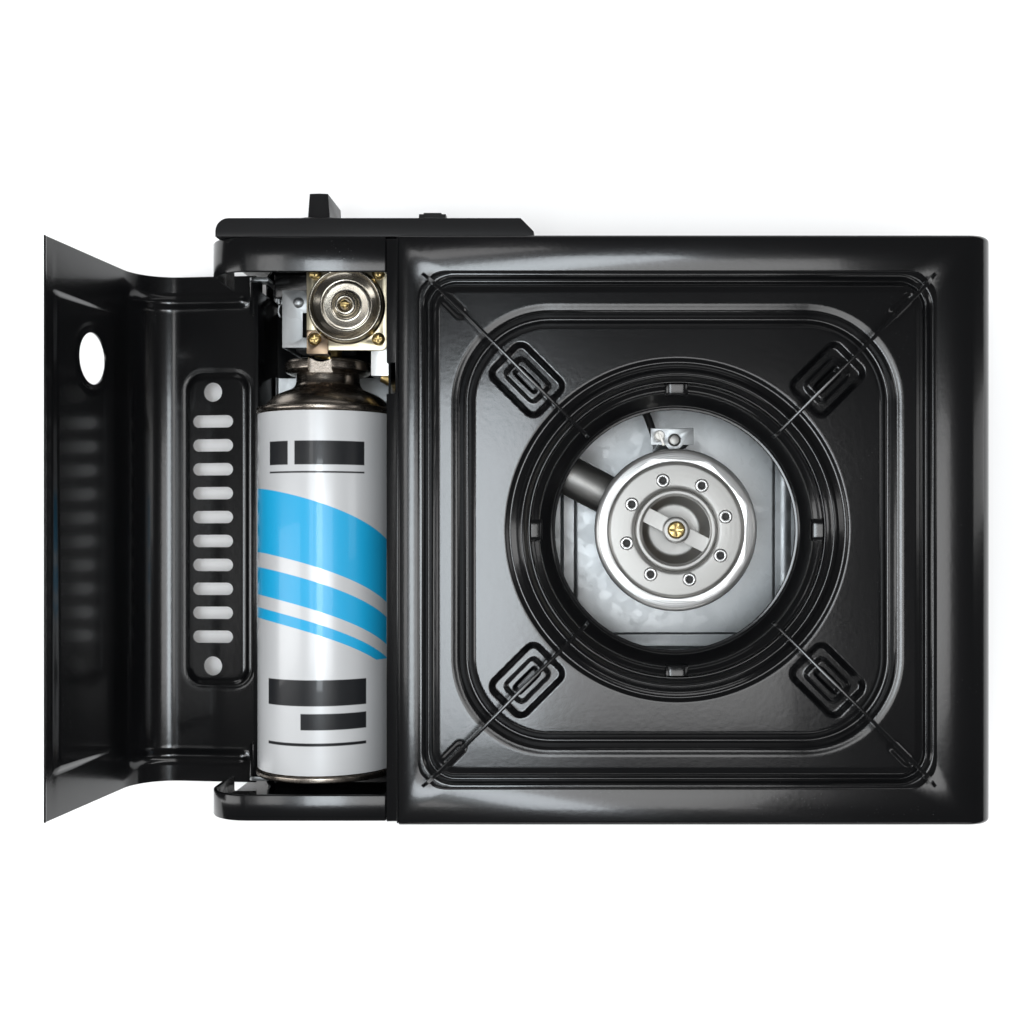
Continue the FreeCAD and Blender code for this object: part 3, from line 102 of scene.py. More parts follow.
# The shut lid in profile: side, bend radius and top, its outer side and foot, and its hinge
LID_SIDE, LID_BEND, LID_TOP = 40.2, 20.8, 73.0
LID_TOTAL = LID_SIDE + LID_BEND * math.pi / 2 + LID_TOP
LID_OUT_X, LID_FOOT_Z = 217.8, 30.0
HINGE_X, HINGE_Z = 207.0, 26.0
LID_OPEN = math.radians(96.0)
# The cartridge: shell radius, seam radius, length, and where its base stands
CAN_R, CAN_SEAM_R, CAN_LENGTH = 33.0, 33.9, 172.0
CAN_BACK_Y = 116.5
CAN_BASE = (CAN.x, BURNER.y + CAN_BACK_Y * MM, CAN.z)

# The soft boxes: name, place and aim in metres from the burner's axis, size, power, colour
WHITE = (1.0, 1.0, 1.0)
LIGHTS = (
    ("sheen box", (0.21, 0.05, 1.25), (0.21, 0.05, 0.0), (0.20, 0.50), 3.8, (0.88, 0.95, 1.0)),
    ("top box", (-0.07, 0.07, 1.26), (-0.07, 0.07, 0.0), (0.36, 0.42), 1.7, WHITE),
    ("bay box", (0.50, -0.05, 1.25), (0.50, -0.05, 0.0), (0.14, 0.6), 1.0, WHITE),
    ("left wall", (1.1, 0.1, 0.55), (0.0, 0.0, 0.05), (0.28, 1.2), 3.2, WHITE),
    ("right wall", (-1.1, -0.1, 0.55), (0.0, 0.0, 0.05), (0.2, 1.2), 1.2, WHITE),
    ("front wall", (0.0, -1.1, 0.55), (0.0, 0.0, 0.05), (1.2, 0.2), 0.5, WHITE),
    ("rear wall", (0.0, 1.1, 0.55), (0.0, 0.0, 0.05), (1.2, 0.2), 1.8, WHITE),
)


# Shader maths


class Val:
    """A shader socket that takes part in plain arithmetic; each operator adds a Math node."""

    def __init__(self, tree, socket):
        self.tree = tree
        self.socket = socket

    def math(self, operation, *values):
        node = self.tree.nodes.new("ShaderNodeMath")
        node.operation = operation
        for slot, value in zip(node.inputs, values):
            put(self.tree, value, slot)
        return Val(self.tree, node.outputs[0])

    def __add__(self, other):
        return self.math("ADD", self, other)

    def __sub__(self, other):
        return self.math("SUBTRACT", self, other)

    def __rsub__(self, other):
        return self.math("SUBTRACT", other, self)

    def __mul__(self, other):
        return self.math("MULTIPLY", self, other)

    def __abs__(self):
        return self.math("ABSOLUTE", self)

    def sin(self):
        return self.math("SINE", self)

    def sqrt(self):
        return self.math("SQRT", self)

    def min(self, other):
        return self.math("MINIMUM", self, other)

    def atan2(self, other):
        return self.math("ARCTAN2", self, other)

    def step(self, low, high):
        """0 below low, 1 above high and a smooth ramp between."""
        node = self.tree.nodes.new("ShaderNodeMapRange")
        node.interpolation_type = "SMOOTHSTEP"
        put(self.tree, self, node.inputs[0])
        node.inputs[1].default_value = low
        node.inputs[2].default_value = high
        return Val(self.tree, node.outputs[0])


def put(tree, value, socket):
    """Links a Val to a socket, or sets a plain value on it."""
    if isinstance(value, Val):
        tree.links.new(value.socket, socket)
    elif isinstance(value, tuple) and len(value) == 3 and len(socket.default_value) == 4:
        socket.default_value = (*value, 1.0)
    else:
        socket.default_value = value


class Finish:
    """One material: a Principled shader and the nodes that vary its colour, roughness and bump."""

    def __init__(self, name):
        self.material = bpy.data.materials.new(name)
        self.material.use_nodes = True
        self.tree = self.material.node_tree
        self.shader = self.tree.nodes["Principled BSDF"]
        self.coords = Val(self.tree, self.tree.nodes.new("ShaderNodeTexCoord").outputs["Object"])

    def node(self, kind, settings=None, out=0, **inputs):
        """Adds a node of a kind with its settings and inputs, and gives one of its outputs."""
        node = self.tree.nodes.new(kind)
        for key, value in (settings or {}).items():
            setattr(node, key, value)
        for key, value in inputs.items():
            put(self.tree, value, node.inputs[key.replace("_", " ")])
        return Val(self.tree, node.outputs[out])

    def noise(self, scale, detail=3.0, rough=0.5):
        """Soft noise from 0 to 1; scale counts blobs per metre."""
        return self.node("ShaderNodeTexNoise", None, 0, Vector=self.coords,
                         Scale=scale, Detail=detail, Roughness=rough)

    def centred(self, x, y, z=0.0):
        """Object coordinates counted from a point."""
        node = self.tree.nodes.new("ShaderNodeMapping")
        node.inputs["Location"].default_value = (-x, -y, -z)
        put(self.tree, self.coords, node.inputs["Vector"])
        return Val(self.tree, node.outputs[0])

    def split(self, vector):
        """The three parts of a vector."""
        node = self.tree.nodes.new("ShaderNodeSeparateXYZ")
        put(self.tree, vector, node.inputs[0])
        return [Val(self.tree, o) for o in node.outputs]

    def mix(self, mask, low, high):
        """A colour between two colours by a mask."""
        node = self.tree.nodes.new("ShaderNodeMix")
        node.data_type = "RGBA"
        put(self.tree, mask, node.inputs[0])
        put(self.tree, low, node.inputs[6])
        put(self.tree, high, node.inputs[7])
        return Val(self.tree, node.outputs[2])

    def bump(self, height, depth, strength=1.0):
        """Bumps the surface by a height from 0 to 1 times a depth in metres."""
        node = self.tree.nodes.new("ShaderNodeBump")
        node.inputs["Strength"].default_value = strength
        node.inputs["Distance"].default_value = depth
        put(self.tree, height, node.inputs["Height"])
        self.tree.links.new(node.outputs[0], self.shader.inputs["Normal"])

    def set(self, **values):
        """Sets or links the shader's own sockets by name."""
        for key, value in values.items():
            put(self.tree, value, self.shader.inputs[key.replace("_", " ")])
        return self


def enamel():
    """Gloss black baked enamel: a faint orange peel, uneven gloss and a little dust."""
    f = Finish("black enamel")
    cloud = f.noise(9.0, 3.0)
    dust = f.noise(1400.0, 1.0).step(0.70, 0.80) * f.noise(26.0, 2.0).step(0.5, 0.72)
    colour = f.mix(cloud, (0.0025, 0.0026, 0.003), (0.005, 0.0051, 0.0056))
    f.set(Base_Color=f.mix(dust * 0.25, colour, (0.10, 0.10, 0.10)),
          Roughness=cloud * 0.08 + 0.14 + dust * 0.2,
          Specular_IOR_Level=0.55, Coat_Weight=0.2, Coat_Roughness=0.06)
    f.bump(f.noise(420.0, 2.0) + f.noise(60.0, 1.0) * 1.6, 0.00005, 0.5)
    return f.material


def moulded_black():
    """Moulded black plastic with a fine spark-eroded texture."""
    f = Finish("black plastic")
    grain = f.noise(1800.0, 2.0)
    f.set(Base_Color=f.mix(f.noise(14.0), (0.007, 0.007, 0.0075), (0.013, 0.013, 0.014)),
          Roughness=grain * 0.12 + 0.30, Specular_IOR_Level=0.45)
    f.bump(grain, 0.00004, 0.5)
    return f.material


def galvanised():
    """Zinc coated sheet: crystal spangle in colour and gloss, with soft stains."""
    f = Finish("galvanised sheet")
    tint = (0.60, 0.62, 0.63)
    spangle = f.node("ShaderNodeTexVoronoi", {"feature": "F1"}, "Color", Vector=f.coords, Scale=240.0)
    flake = f.split(spangle)[0]
    stain = f.noise(30.0, 4.0)
    low = tuple(c * 0.74 for c in tint)
    f.set(Base_Color=f.mix(flake * 0.5 + stain * 0.5, low, tint), Metallic=1.0,
          Roughness=flake * 0.10 + stain * 0.12 + 0.34)
    f.bump(f.noise(700.0, 2.0) + flake * 0.5, 0.00003, 0.5)
    return f.material


def turned(name, tint, rough, pitch, centre, depth=0.00002):
    """Lathe-turned metal: fine rings about an upright axis, uneven gloss, and a painted sheen that
    makes the colour lighter in two opposite sectors round the axis.
    """
    f = Finish(name)
    x, y, _ = f.split(f.centred(centre.x, centre.y))
    radius = (x * x + y * y).sqrt()
    rings = (radius * (2 * math.pi / pitch)).sin() * 0.5 + 0.5
    coarse = (radius * (2 * math.pi / (pitch * 3.7)) + 1.3).sin() * 0.5 + 0.5
    sweep = f.node("ShaderNodeTexNoise", {"noise_dimensions": "1D"}, 0, W=radius * 900.0, Detail=3.0)
    # painted sheen: the colour is lighter in two opposite sectors round the axis, standing in for the
    # highlight of turned metal
    painted_sheen = (y.atan2(x) * 2.0 + 0.8).sin() * 0.5 + 0.5
    low = tuple(c * 0.80 for c in tint)
    f.set(Base_Color=f.mix(sweep * 0.7 + painted_sheen * 0.3, low, tint), Metallic=1.0,
          Roughness=sweep * 0.16 + rough)
    f.bump(rings * 0.6 + coarse * 0.6 + sweep, depth, 0.6)
    return f.material


def polished(name, tint, rough):
    """Bright formed metal with soft scuffs and a slight pull in the surface."""
    f = Finish(name)
    scuff = f.noise(220.0, 5.0, rough=0.7)
    cloud = f.noise(40.0, 2.0)
    low = tuple(c * 0.82 for c in tint)
    f.set(Base_Color=f.mix(cloud, low, tint), Metallic=1.0, Roughness=scuff * 0.14 + rough)
    f.bump(cloud + scuff * 0.3, 0.00006, 0.35)
    return f.material


def tinplate():
    """The cartridge's bright tinplate: warm, drawn lines round its axis, small scuffs."""
    f = Finish("tinplate")
    _, y, _ = f.split(f.centred(CAN.x, CAN.y, CAN.z))
    lines = f.node("ShaderNodeTexNoise", {"noise_dimensions": "1D"}, 0, W=y * 1500.0, Detail=3.0)
    scuff = f.noise(160.0, 4.0)
    f.set(Base_Color=f.mix(scuff, (0.27, 0.235, 0.20), (0.44, 0.39, 0.34)), Metallic=1.0,
          Roughness=lines * 0.10 + scuff * 0.10 + 0.16)
    f.bump(lines, 0.00003, 0.4)
    return f.material


def soft_black(name, level, rough):
    """Rubber or insulation: near black, dull, with a fine grain."""
    f = Finish(name)
    grain = f.noise(900.0, 3.0)
    f.set(Base_Color=f.mix(grain, (level * 0.7,) * 3, (level * 1.3,) * 3),
          Roughness=grain * 0.12 + rough, Specular_IOR_Level=0.35)
    f.bump(grain, 0.00005, 0.5)
    return f.material


def glazed():
    """Glazed white ceramic with a few grey specks."""
    f = Finish("glazed ceramic")
    speck = f.noise(500.0, 2.0).step(0.68, 0.74)
    f.set(Base_Color=f.mix(speck, (0.80, 0.79, 0.75), (0.42, 0.40, 0.37)),
          Roughness=f.noise(60.0) * 0.1 + 0.18)
    f.bump(f.noise(90.0), 0.00005, 0.3)
    return f.material


def painted_mark():
    """The knob's white mark, slightly worn."""
    f = Finish("white mark")
    worn = f.noise(800.0, 3.0).step(0.60, 0.75)
    f.set(Base_Color=f.mix(worn, (0.80, 0.80, 0.79), (0.45, 0.45, 0.44)), Roughness=worn * 0.2 + 0.4)
    f.bump(worn, 0.00002, 0.4)
    return f.material


def printed_label():
    """The printed sleeve: lacquered white with slanted cyan bands and dark blocks, no lettering.

    Along is the distance down the can from its seam at the valve end, across runs round it,
    both in millimetres; every shape is a product of soft steps of these.
    """
    f = Finish("printed sleeve")
    x, y, z = f.split(f.centred(CAN.x, CAN.y, CAN.z))
    across = x.atan2(z) * 33.2
    along = (y * 1000.0) + 84.0

    def within(value, low, high, blur=0.25):
        return value.step(low - blur, low + blur) * (1.0 - value.step(high - blur, high + blur))

    slant = along + across * 0.55
    bend = ((across + 30.0) * (across + 30.0)) * 0.004
    field = within(along, 33.0, 116.0) * within(abs(across), -1.0, 44.0, 0.3)
    band_1 = within(slant - bend, 38.0, 68.0)
    band_2 = within(slant - bend, 75.0, 88.0)
    band_3 = within(slant - bend, 94.0, 99.0)
    cyan = (band_1 + band_2 + band_3).min(1.0) * field
    block_1 = within(along, 14.0, 25.0) * within(across, -24.0, 9.0)
    block_2 = within(along, 14.0, 25.0) * within(across, 12.5, 24.0)
    block_3 = within(along, 124.0, 136.0) * within(across, -25.0, 25.0)
    block_4 = within(along, 139.5, 147.0) * within(across, -25.0, 6.0)
    dark = block_1 + block_2 + block_3 + block_4
    rule = within(along, 153.0, 154.4) * within(abs(across), -1.0, 25.0)
    rule_2 = within(along, 28.0, 28.8) * within(abs(across), -1.0, 24.0)
    seam = within(abs(across), 100.0, 103.2)
    cloud = f.noise(18.0, 3.0)
    paper = f.mix(cloud, (0.50, 0.51, 0.52), (0.60, 0.61, 0.62))
    paint = f.mix(cyan, paper, (0.010, 0.33, 0.60))
    paint = f.mix((dark + rule + rule_2).min(1.0), paint, (0.012, 0.013, 0.015))
    paint = f.mix(seam, paint, (0.42, 0.40, 0.37))
    f.set(Base_Color=paint, Roughness=f.noise(300.0, 3.0) * 0.10 + 0.26, Coat_Weight=0.25,
          Metallic=(1.0 - cyan) * (1.0 - dark.min(1.0)) * 0.22)
    f.bump(f.noise(500.0, 2.0), 0.00002, 0.4)
    return f.material


FINISHES = {}


def make_finishes():
    """Makes each material once and keeps it under its slot's name."""
    table = {
        "black_enamel": enamel(),
        "black_plastic": moulded_black(),
        "galvanized": galvanised(),
        "stainless": turned("stainless plate", (0.54, 0.53, 0.51), 0.38, 0.0006, BURNER),
        "cast_aluminium": turned("turned aluminium", (0.90, 0.90, 0.89), 0.30, 0.0009, BURNER, 0.00004),
        "grey_tube": polished("dark steel tube", (0.56, 0.55, 0.53), 0.42),
        "brass": polished("brass", (0.62, 0.46, 0.20), 0.24),
        "zinc_yellow": polished("yellow zinc", (0.58, 0.52, 0.38), 0.28),
        "polished": polished("polished nickel", (0.52, 0.48, 0.41), 0.15),
        "brown_steel": polished("brown steel", (0.26, 0.19, 0.13), 0.28),
        "ceramic": glazed(),
        "rubber": soft_black("foot rubber", 0.02, 0.62),
        "lead_black": soft_black("lead insulation", 0.015, 0.42),
        "tinplate": tinplate(),
        "label": printed_label(),
        "matte_black": soft_black("igniter case", 0.025, 0.48),
        "white_mark": painted_mark(),
    }
    FINISHES.update(table)


# Meshes


def smooth(mesh, angle):
    """Smooths a mesh but for its edges past an angle in degrees."""
    mesh.polygons.foreach_set("use_smooth", np.ones(len(mesh.polygons), bool))
    mesh.set_sharp_from_angle(angle=math.radians(angle))


def new_piece(name, mesh, slot, body, angle=35.0):
    """Links a mesh as a piece with its finish and body, smooth but for edges past an angle."""
    piece = bpy.data.objects.new(name, mesh)
    bpy.context.scene.collection.objects.link(piece)
    mesh.materials.clear()
    mesh.materials.append(FINISHES[slot])
    smooth(mesh, angle)
    mesh.update()
    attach(piece, body)
    return piece


def grid_mesh(name, points, wrap_u=False, wrap_v=False):
    """A mesh of quads over an array of points with rows u and columns v; a wrapped side closes."""
    n, m = points.shape[:2]
    rows = np.arange(n if wrap_u else n - 1)
    cols = np.arange(m if wrap_v else m - 1)
    u, v = np.meshgrid(rows, cols, indexing="ij")
    u1, v1 = (u + 1) % n, (v + 1) % m
    faces = np.stack([u * m + v, u * m + v1, u1 * m + v1, u1 * m + v], axis=-1).reshape(-1, 4)
    mesh = bpy.data.meshes.new(name)
    mesh.vertices.add(n * m)
    mesh.vertices.foreach_set("co", points.reshape(-1).astype(np.float32))
    mesh.loops.add(faces.size)
    mesh.loops.foreach_set("vertex_index", faces.reshape(-1).astype(np.int32))
    mesh.polygons.add(len(faces))
    mesh.polygons.foreach_set("loop_start", np.arange(0, faces.size, 4, dtype=np.int32))
    mesh.update(calc_edges=True)
    mesh.validate()
    return mesh


def tidy_mesh(mesh, outward=True):
    """Merges doubles, and turns every face outwards unless told not to."""
    bm = bmesh.new()
    bm.from_mesh(mesh)
    bmesh.ops.remove_doubles(bm, verts=bm.verts, dist=1e-6)
    bmesh.ops.dissolve_degenerate(bm, edges=bm.edges, dist=1e-8)
    if outward:
        bmesh.ops.recalc_face_normals(bm, faces=bm.faces)
    bm.to_mesh(mesh)
    bm.free()
    return mesh


def fine_profile(corners, rounds, steps=5):
    """A closed outline from corner points whose corners turn on quadratic arcs of given reach.

    Each corner P with reach d becomes the curve (1-t)^2 A + 2t(1-t) P + t^2 B, where A and B
    lie d before and after P, or a bit under half the side if that is shorter.
    """
    pts = np.array(corners, float)
    out = []
    for i, p in enumerate(pts):
        before, after = pts[i - 1] - p, pts[(i + 1) % len(pts)] - p
        d = rounds[i] if hasattr(rounds, "__len__") else rounds
        if d <= 0:
            out.append(p[None])
            continue
        a = p + before * min(d / np.linalg.norm(before), 0.46)
        b = p + after * min(d / np.linalg.norm(after), 0.46)
        t = np.linspace(0, 1, steps)[:, None]
        out.append((1 - t) ** 2 * a + 2 * t * (1 - t) * p + t ** 2 * b)
    return np.concatenate(out)


def lathe(name, corners, rounds, centre, axis="Z", steps=96, arc=5):
    """A closed outline of radius and height, in mm, carried round an axis through a centre.

    A point is centre + r (cos a e1 + sin a e2) + h e3, with e3 the axis.
    """
    profile = fine_profile(corners, rounds, arc) * MM
    profile[:, 0] = np.maximum(profile[:, 0], 0.0)
    a = np.linspace(0, 2 * np.pi, steps, endpoint=False)[:, None]
    r, h = profile[None, :, 0], profile[None, :, 1]
    axes = {"Z": ((1, 0, 0), (0, 1, 0), (0, 0, 1)), "-Y": ((1, 0, 0), (0, 0, 1), (0, -1, 0))}
    e1, e2, e3 = axes[axis]
    pts = (np.array(centre)[None, None] + (r * np.cos(a))[..., None] * np.array(e1)
           + (r * np.sin(a))[..., None] * np.array(e2)
           + (h * np.ones_like(a))[..., None] * np.array(e3))
    return tidy_mesh(grid_mesh(name, pts, wrap_u=True, wrap_v=True))


def soft(t):
    """Smooth step of t, clipped to 0..1."""
    t = np.clip(t, 0.0, 1.0)
    return t * t * (3 - 2 * t)


def square_gap(x, y, half, r):
    """Signed distance from a rounded square of a half size and corner radius; below 0 inside."""
    return block_gap(x, y, 0.0, 0.0, half, half, r)


def block_gap(x, y, cx, cy, hx, hy, r, turn=0.0):
    """Signed distance from a rounded rectangle turned about its centre."""
    c, s = math.cos(turn), math.sin(turn)
    u = (x - cx) * c + (y - cy) * s
    v = -(x - cx) * s + (y - cy) * c
    qx, qy = np.abs(u) - (hx - r), np.abs(v) - (hy - r)
    outside = np.hypot(np.maximum(qx, 0), np.maximum(qy, 0))
    return outside + np.minimum(np.maximum(qx, qy), 0) - r


def apply_modifiers(piece):
    """Bakes a piece's modifiers into its mesh."""
    graph = bpy.context.evaluated_depsgraph_get()
    mesh = bpy.data.meshes.new_from_object(piece.evaluated_get(graph))
    piece.modifiers.clear()
    piece.data = mesh


def prism(bm, low, high):
    """Adds a closed prism between two rings of as many points."""
    low = [bm.verts.new(point) for point in low]
    high = [bm.verts.new(point) for point in high]
    for i in range(len(low)):
        j = (i + 1) % len(low)
        bm.faces.new((low[i], low[j], high[j], high[i]))
    bm.faces.new(low[::-1])
    bm.faces.new(high)


def cut_with(piece, bm, angle):
    """Cuts closed shapes out of a piece, then smooths it but for edges past an angle."""
    mesh = bpy.data.meshes.new("cut")
    bm.to_mesh(mesh)
    bm.free()
    tool = bpy.data.objects.new("cut", mesh)
    bpy.context.scene.collection.objects.link(tool)
    cut = piece.modifiers.new("cut", "BOOLEAN")
    cut.operation = "DIFFERENCE"
    cut.solver = "EXACT"
    cut.object = tool
    apply_modifiers(piece)
    bpy.data.objects.remove(tool)
    smooth(piece.data, angle)


def thicken(piece, thickness, offset=-1.0):
    """Gives a sheet its wall."""
    wall = piece.modifiers.new("wall", "SOLIDIFY")
    wall.thickness = thickness
    wall.offset = offset
    wall.use_even_offset = False
    apply_modifiers(piece)


def dress_node(node, slot, edge=0.0, angle=32.0):
    """A smooth copy of a CAD piece stands in for it, with its doubles merged and edges eased."""
    source = frame["nodes"][node]
    mesh = source.data.copy()
    mesh.name = node + "_dress"
    bm = bmesh.new()
    bm.from_mesh(mesh)
    bmesh.ops.remove_doubles(bm, verts=bm.verts, dist=2e-6)
    bmesh.ops.dissolve_limit(bm, angle_limit=math.radians(0.6), verts=bm.verts, edges=bm.edges)
    bm.to_mesh(mesh)
    bm.free()
    piece = new_piece(node + "_dress", mesh, slot, source["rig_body"], angle)
    if edge > 0:
        bevel = piece.modifiers.new("edge", "BEVEL")
        bevel.width = edge * MM
        bevel.segments = 2
        bevel.limit_method = "ANGLE"
        bevel.angle_limit = math.radians(38)
        bevel.harden_normals = False
        apply_modifiers(piece)
        smooth(piece.data, angle)
    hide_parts(node)


class StoveSizes(bpy.types.PropertyGroup):
    """Sizes of the pressed sheet, as far as a user would change them."""

    sheet: bpy.props.FloatProperty(name="Sheet", description="Thickness of the pressed sheet",
                                   default=0.0008, unit="LENGTH", subtype="DISTANCE")
    pan_rows: bpy.props.IntProperty(name="Pan rows", description="Steps from the bead to the rim",
                                    default=136, min=20, max=150)
    pan_turns: bpy.props.IntProperty(name="Pan turns", description="Steps round the pan",
                                     default=720, min=60, max=730)
    backdrop: bpy.props.FloatVectorProperty(name="Backdrop", description="Colour of floor and backdrop",
                                            subtype="COLOR", default=(0.90, 0.90, 0.90), size=3)


def sizes():
    """The scene's size group."""
    return bpy.context.scene.stove_sizes


class STOVE_OT_pan(bpy.types.Operator):
    """Makes the pressed drip pan"""

    bl_idname = "stove.pan"
    bl_label = "Drip pan"

    def execute(self, context):
        group = sizes()
        top = self.sheet("pan_sheet", group.pan_turns, group.pan_rows, 0.0)
        self.sheet("pan_under", group.pan_turns // 3, group.pan_rows // 3, -group.sheet / MM)
        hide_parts("drip_pan")
        return {"FINISHED"}

    def sheet(self, name, n, m, drop):
        """One face of the pan: n steps round by m steps out, at the press's height plus a drop."""
        t = np.linspace(0, 2 * np.pi, n, endpoint=False)
        a = (t + 0.15 * np.sin(4 * t))[:, None]
        c, s = np.cos(a), np.sin(a)
        reach = np.full_like(a, 60.0)
        step = 60.0
        for _ in range(24):
            step /= 1.6
            inside = square_gap((reach + step) * c, (reach + step) * s, PAN_HALF, PAN_CORNER) < 0
            reach = np.where(inside, reach + step, reach)
        v = np.linspace(0, 1, m)[None]
        r = BOWL_R + (reach - BOWL_R) * v
        x, y = r * c, r * s
        z = pan_height(x, y)
        z[:, -1] -= 0.75
        z[:, -2] -= 0.12
        pts = np.stack([BURNER.x + x * MM, BURNER.y + y * MM, PAN_FLAT + (z + drop) * MM], axis=-1)
        piece = new_piece(name, tidy_mesh(grid_mesh(name, pts, wrap_u=True), outward=False),
                          "black_enamel", "pan", 60.0)
        upward = piece.data.polygons[len(piece.data.polygons) // 2].normal.z > 0
        if upward != (drop == 0):
            piece.data.flip_normals()
        return piece


def pan_height(x, y):
    """Height of the press in mm over the pan's flat, at x and y from the burner.

    A groove or channel of depth d and half width w on a curve at distance g is
    -d cos^2(pi g / 2w); bosses and islands are soft steps of rounded rectangles.
    """

    def trough(gap, width, depth, power=1.0):
        wave = np.cos(np.pi / 2 * np.clip(gap / width, -1, 1)) ** 2
        return -depth * wave ** power

    z = trough(square_gap(x, y, 112.5, 12.5), 2.7, 2.6, 0.8)
    inner = square_gap(x, y, 95.2, 38.0)
    z = z + 0.5 * soft(-square_gap(x, y, 109.6, 11.0) / 2.5) * soft((inner - 4.0) / 3.0)
    z += trough(inner, 4.0, 3.2, 0.75)
    for k in range(4):
        w = math.radians(45 + 90 * k)
        cx, cy = 96.0 * math.cos(w), 96.0 * math.sin(w)
        dip = soft(-block_gap(x, y, cx, cy, 15.5, 11.5, 5.0, w) / 2.4)
        z = z * (1 - dip) - 2.9 * dip
        z += 2.1 * soft(-block_gap(x, y, cx, cy, 10.0, 6.4, 3.0, w) / 1.5)
        z -= 1.3 * soft(-block_gap(x, y, cx, cy, 6.8, 2.6, 1.6, w) / 1.0)
        ex, ey = 143.0 * math.cos(w), 143.0 * math.sin(w)
        z -= 1.2 * soft(-block_gap(x, y, ex, ey, 7.5, 3.4, 3.3, w) / 2.4)
    d = np.hypot(x, y)
    z += 3.0 * soft(1 - np.abs(d - 70.2) / 3.4) - 0.9 * soft(1 - np.abs(d - 75.6) / 2.4)
    return np.maximum(z, -3.6)


class STOVE_OT_bowl(bpy.types.Operator):
    """Makes the bowl inside the pan's bead, with its step and four tabs"""

    bl_idname = "stove.bowl"
    bl_label = "Pan bowl"

    def execute(self, context):
        z = PAN_FLAT / MM
        r = BOWL_R
        outline = [(r, z - 4.0), (r, z - 1.2), (r - 0.8, z - 1.2), (r - 0.8, z - 4.6),
                   (r - 4.0, z - 5.6),
                   (57.4, z - 14.6), (55.6, z - 14.8), (55.5, z - 15.6), (58.0, z - 15.6),
                   (r - 3.2, z - 6.8), (r - 0.6, z - 5.4)]
        mesh = lathe("bowl", outline, [0.3, 0.3, 0.3, 1.6, 2.4, 1.4, 0.3, 0.3, 1.2, 2.0, 1.0],
                     (BURNER.x, BURNER.y, 0.0), steps=160)
        piece = new_piece("pan_bowl_sheet", mesh, "black_enamel", "pan", 50.0)
        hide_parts("pan_bowl")
        for k in range(4):
            w = math.radians(90 * k)
            u = np.linspace(-1, 1, 15)[:, None]
            profile = fine_profile([(r - 6.6, z - 6.4), (r - 5.8, z - 2.6), (r - 1.0, z - 2.0),
                                    (r - 1.0, z - 3.0), (r - 5.0, z - 3.6), (r - 5.6, z - 6.4)], 0.5, 4)
            across = u * 5.0
            rr = profile[None, :, 0] + 0 * u
            hh = profile[None, :, 1] - 0.9 * np.abs(u) ** 6
            px = BURNER.x + (rr * math.cos(w) - across * math.sin(w)) * MM
            py = BURNER.y + (rr * math.sin(w) + across * math.cos(w)) * MM
            pts = np.stack([px, py, hh * MM], axis=-1)
            bm = bmesh.new()
            bm.from_mesh(grid_mesh("tab", pts, wrap_v=True))
            bmesh.ops.holes_fill(bm, edges=[e for e in bm.edges if e.is_boundary])
            bmesh.ops.recalc_face_normals(bm, faces=bm.faces)
            tab = bpy.data.meshes.new("tab_%d" % k)
            bm.to_mesh(tab)
            bm.free()
            new_piece("bowl_tab_%d" % (k + 1), tab, "black_enamel", "pan", 50.0)
        return {"FINISHED"}


def lid_point(s, y, lift):
    """A point of the open lid: s mm along the closed profile from its foot, y across, lift inwards.

    The closed profile runs up the side panel, round a bend of radius LID_BEND and along the top
    panel. Its point (u, v) from the hinge is then turned by w, the open angle, to
    (u cos w + v sin w, v cos w - u sin w).
    """
    bend = LID_BEND * math.pi / 2
    ang = np.clip((s - LID_SIDE) / bend, 0, 1) * math.pi / 2
    x = np.where(s < LID_SIDE, LID_OUT_X, LID_OUT_X - LID_BEND + LID_BEND * np.cos(ang))
    z = np.where(s < LID_SIDE, LID_FOOT_Z + s, LID_FOOT_Z + LID_SIDE + LID_BEND * np.sin(ang))
    x = np.where(s > LID_SIDE + bend, LID_OUT_X - LID_BEND - (s - LID_SIDE - bend), x)
    z = np.where(s > LID_SIDE + bend, LID_FOOT_Z + LID_SIDE + LID_BEND, z)
    x, z = x - np.cos(ang) * lift, z - np.sin(ang) * lift
    w = LID_OPEN
    u, v = x - HINGE_X, z - HINGE_Z
    px = HINGE[0] + (u * math.cos(w) + v * math.sin(w)) * MM
    pz = HINGE[2] + (-u * math.sin(w) + v * math.cos(w)) * MM
    py = BURNER.y + y * MM
    return np.stack([px, py + 0 * px, pz], axis=-1)


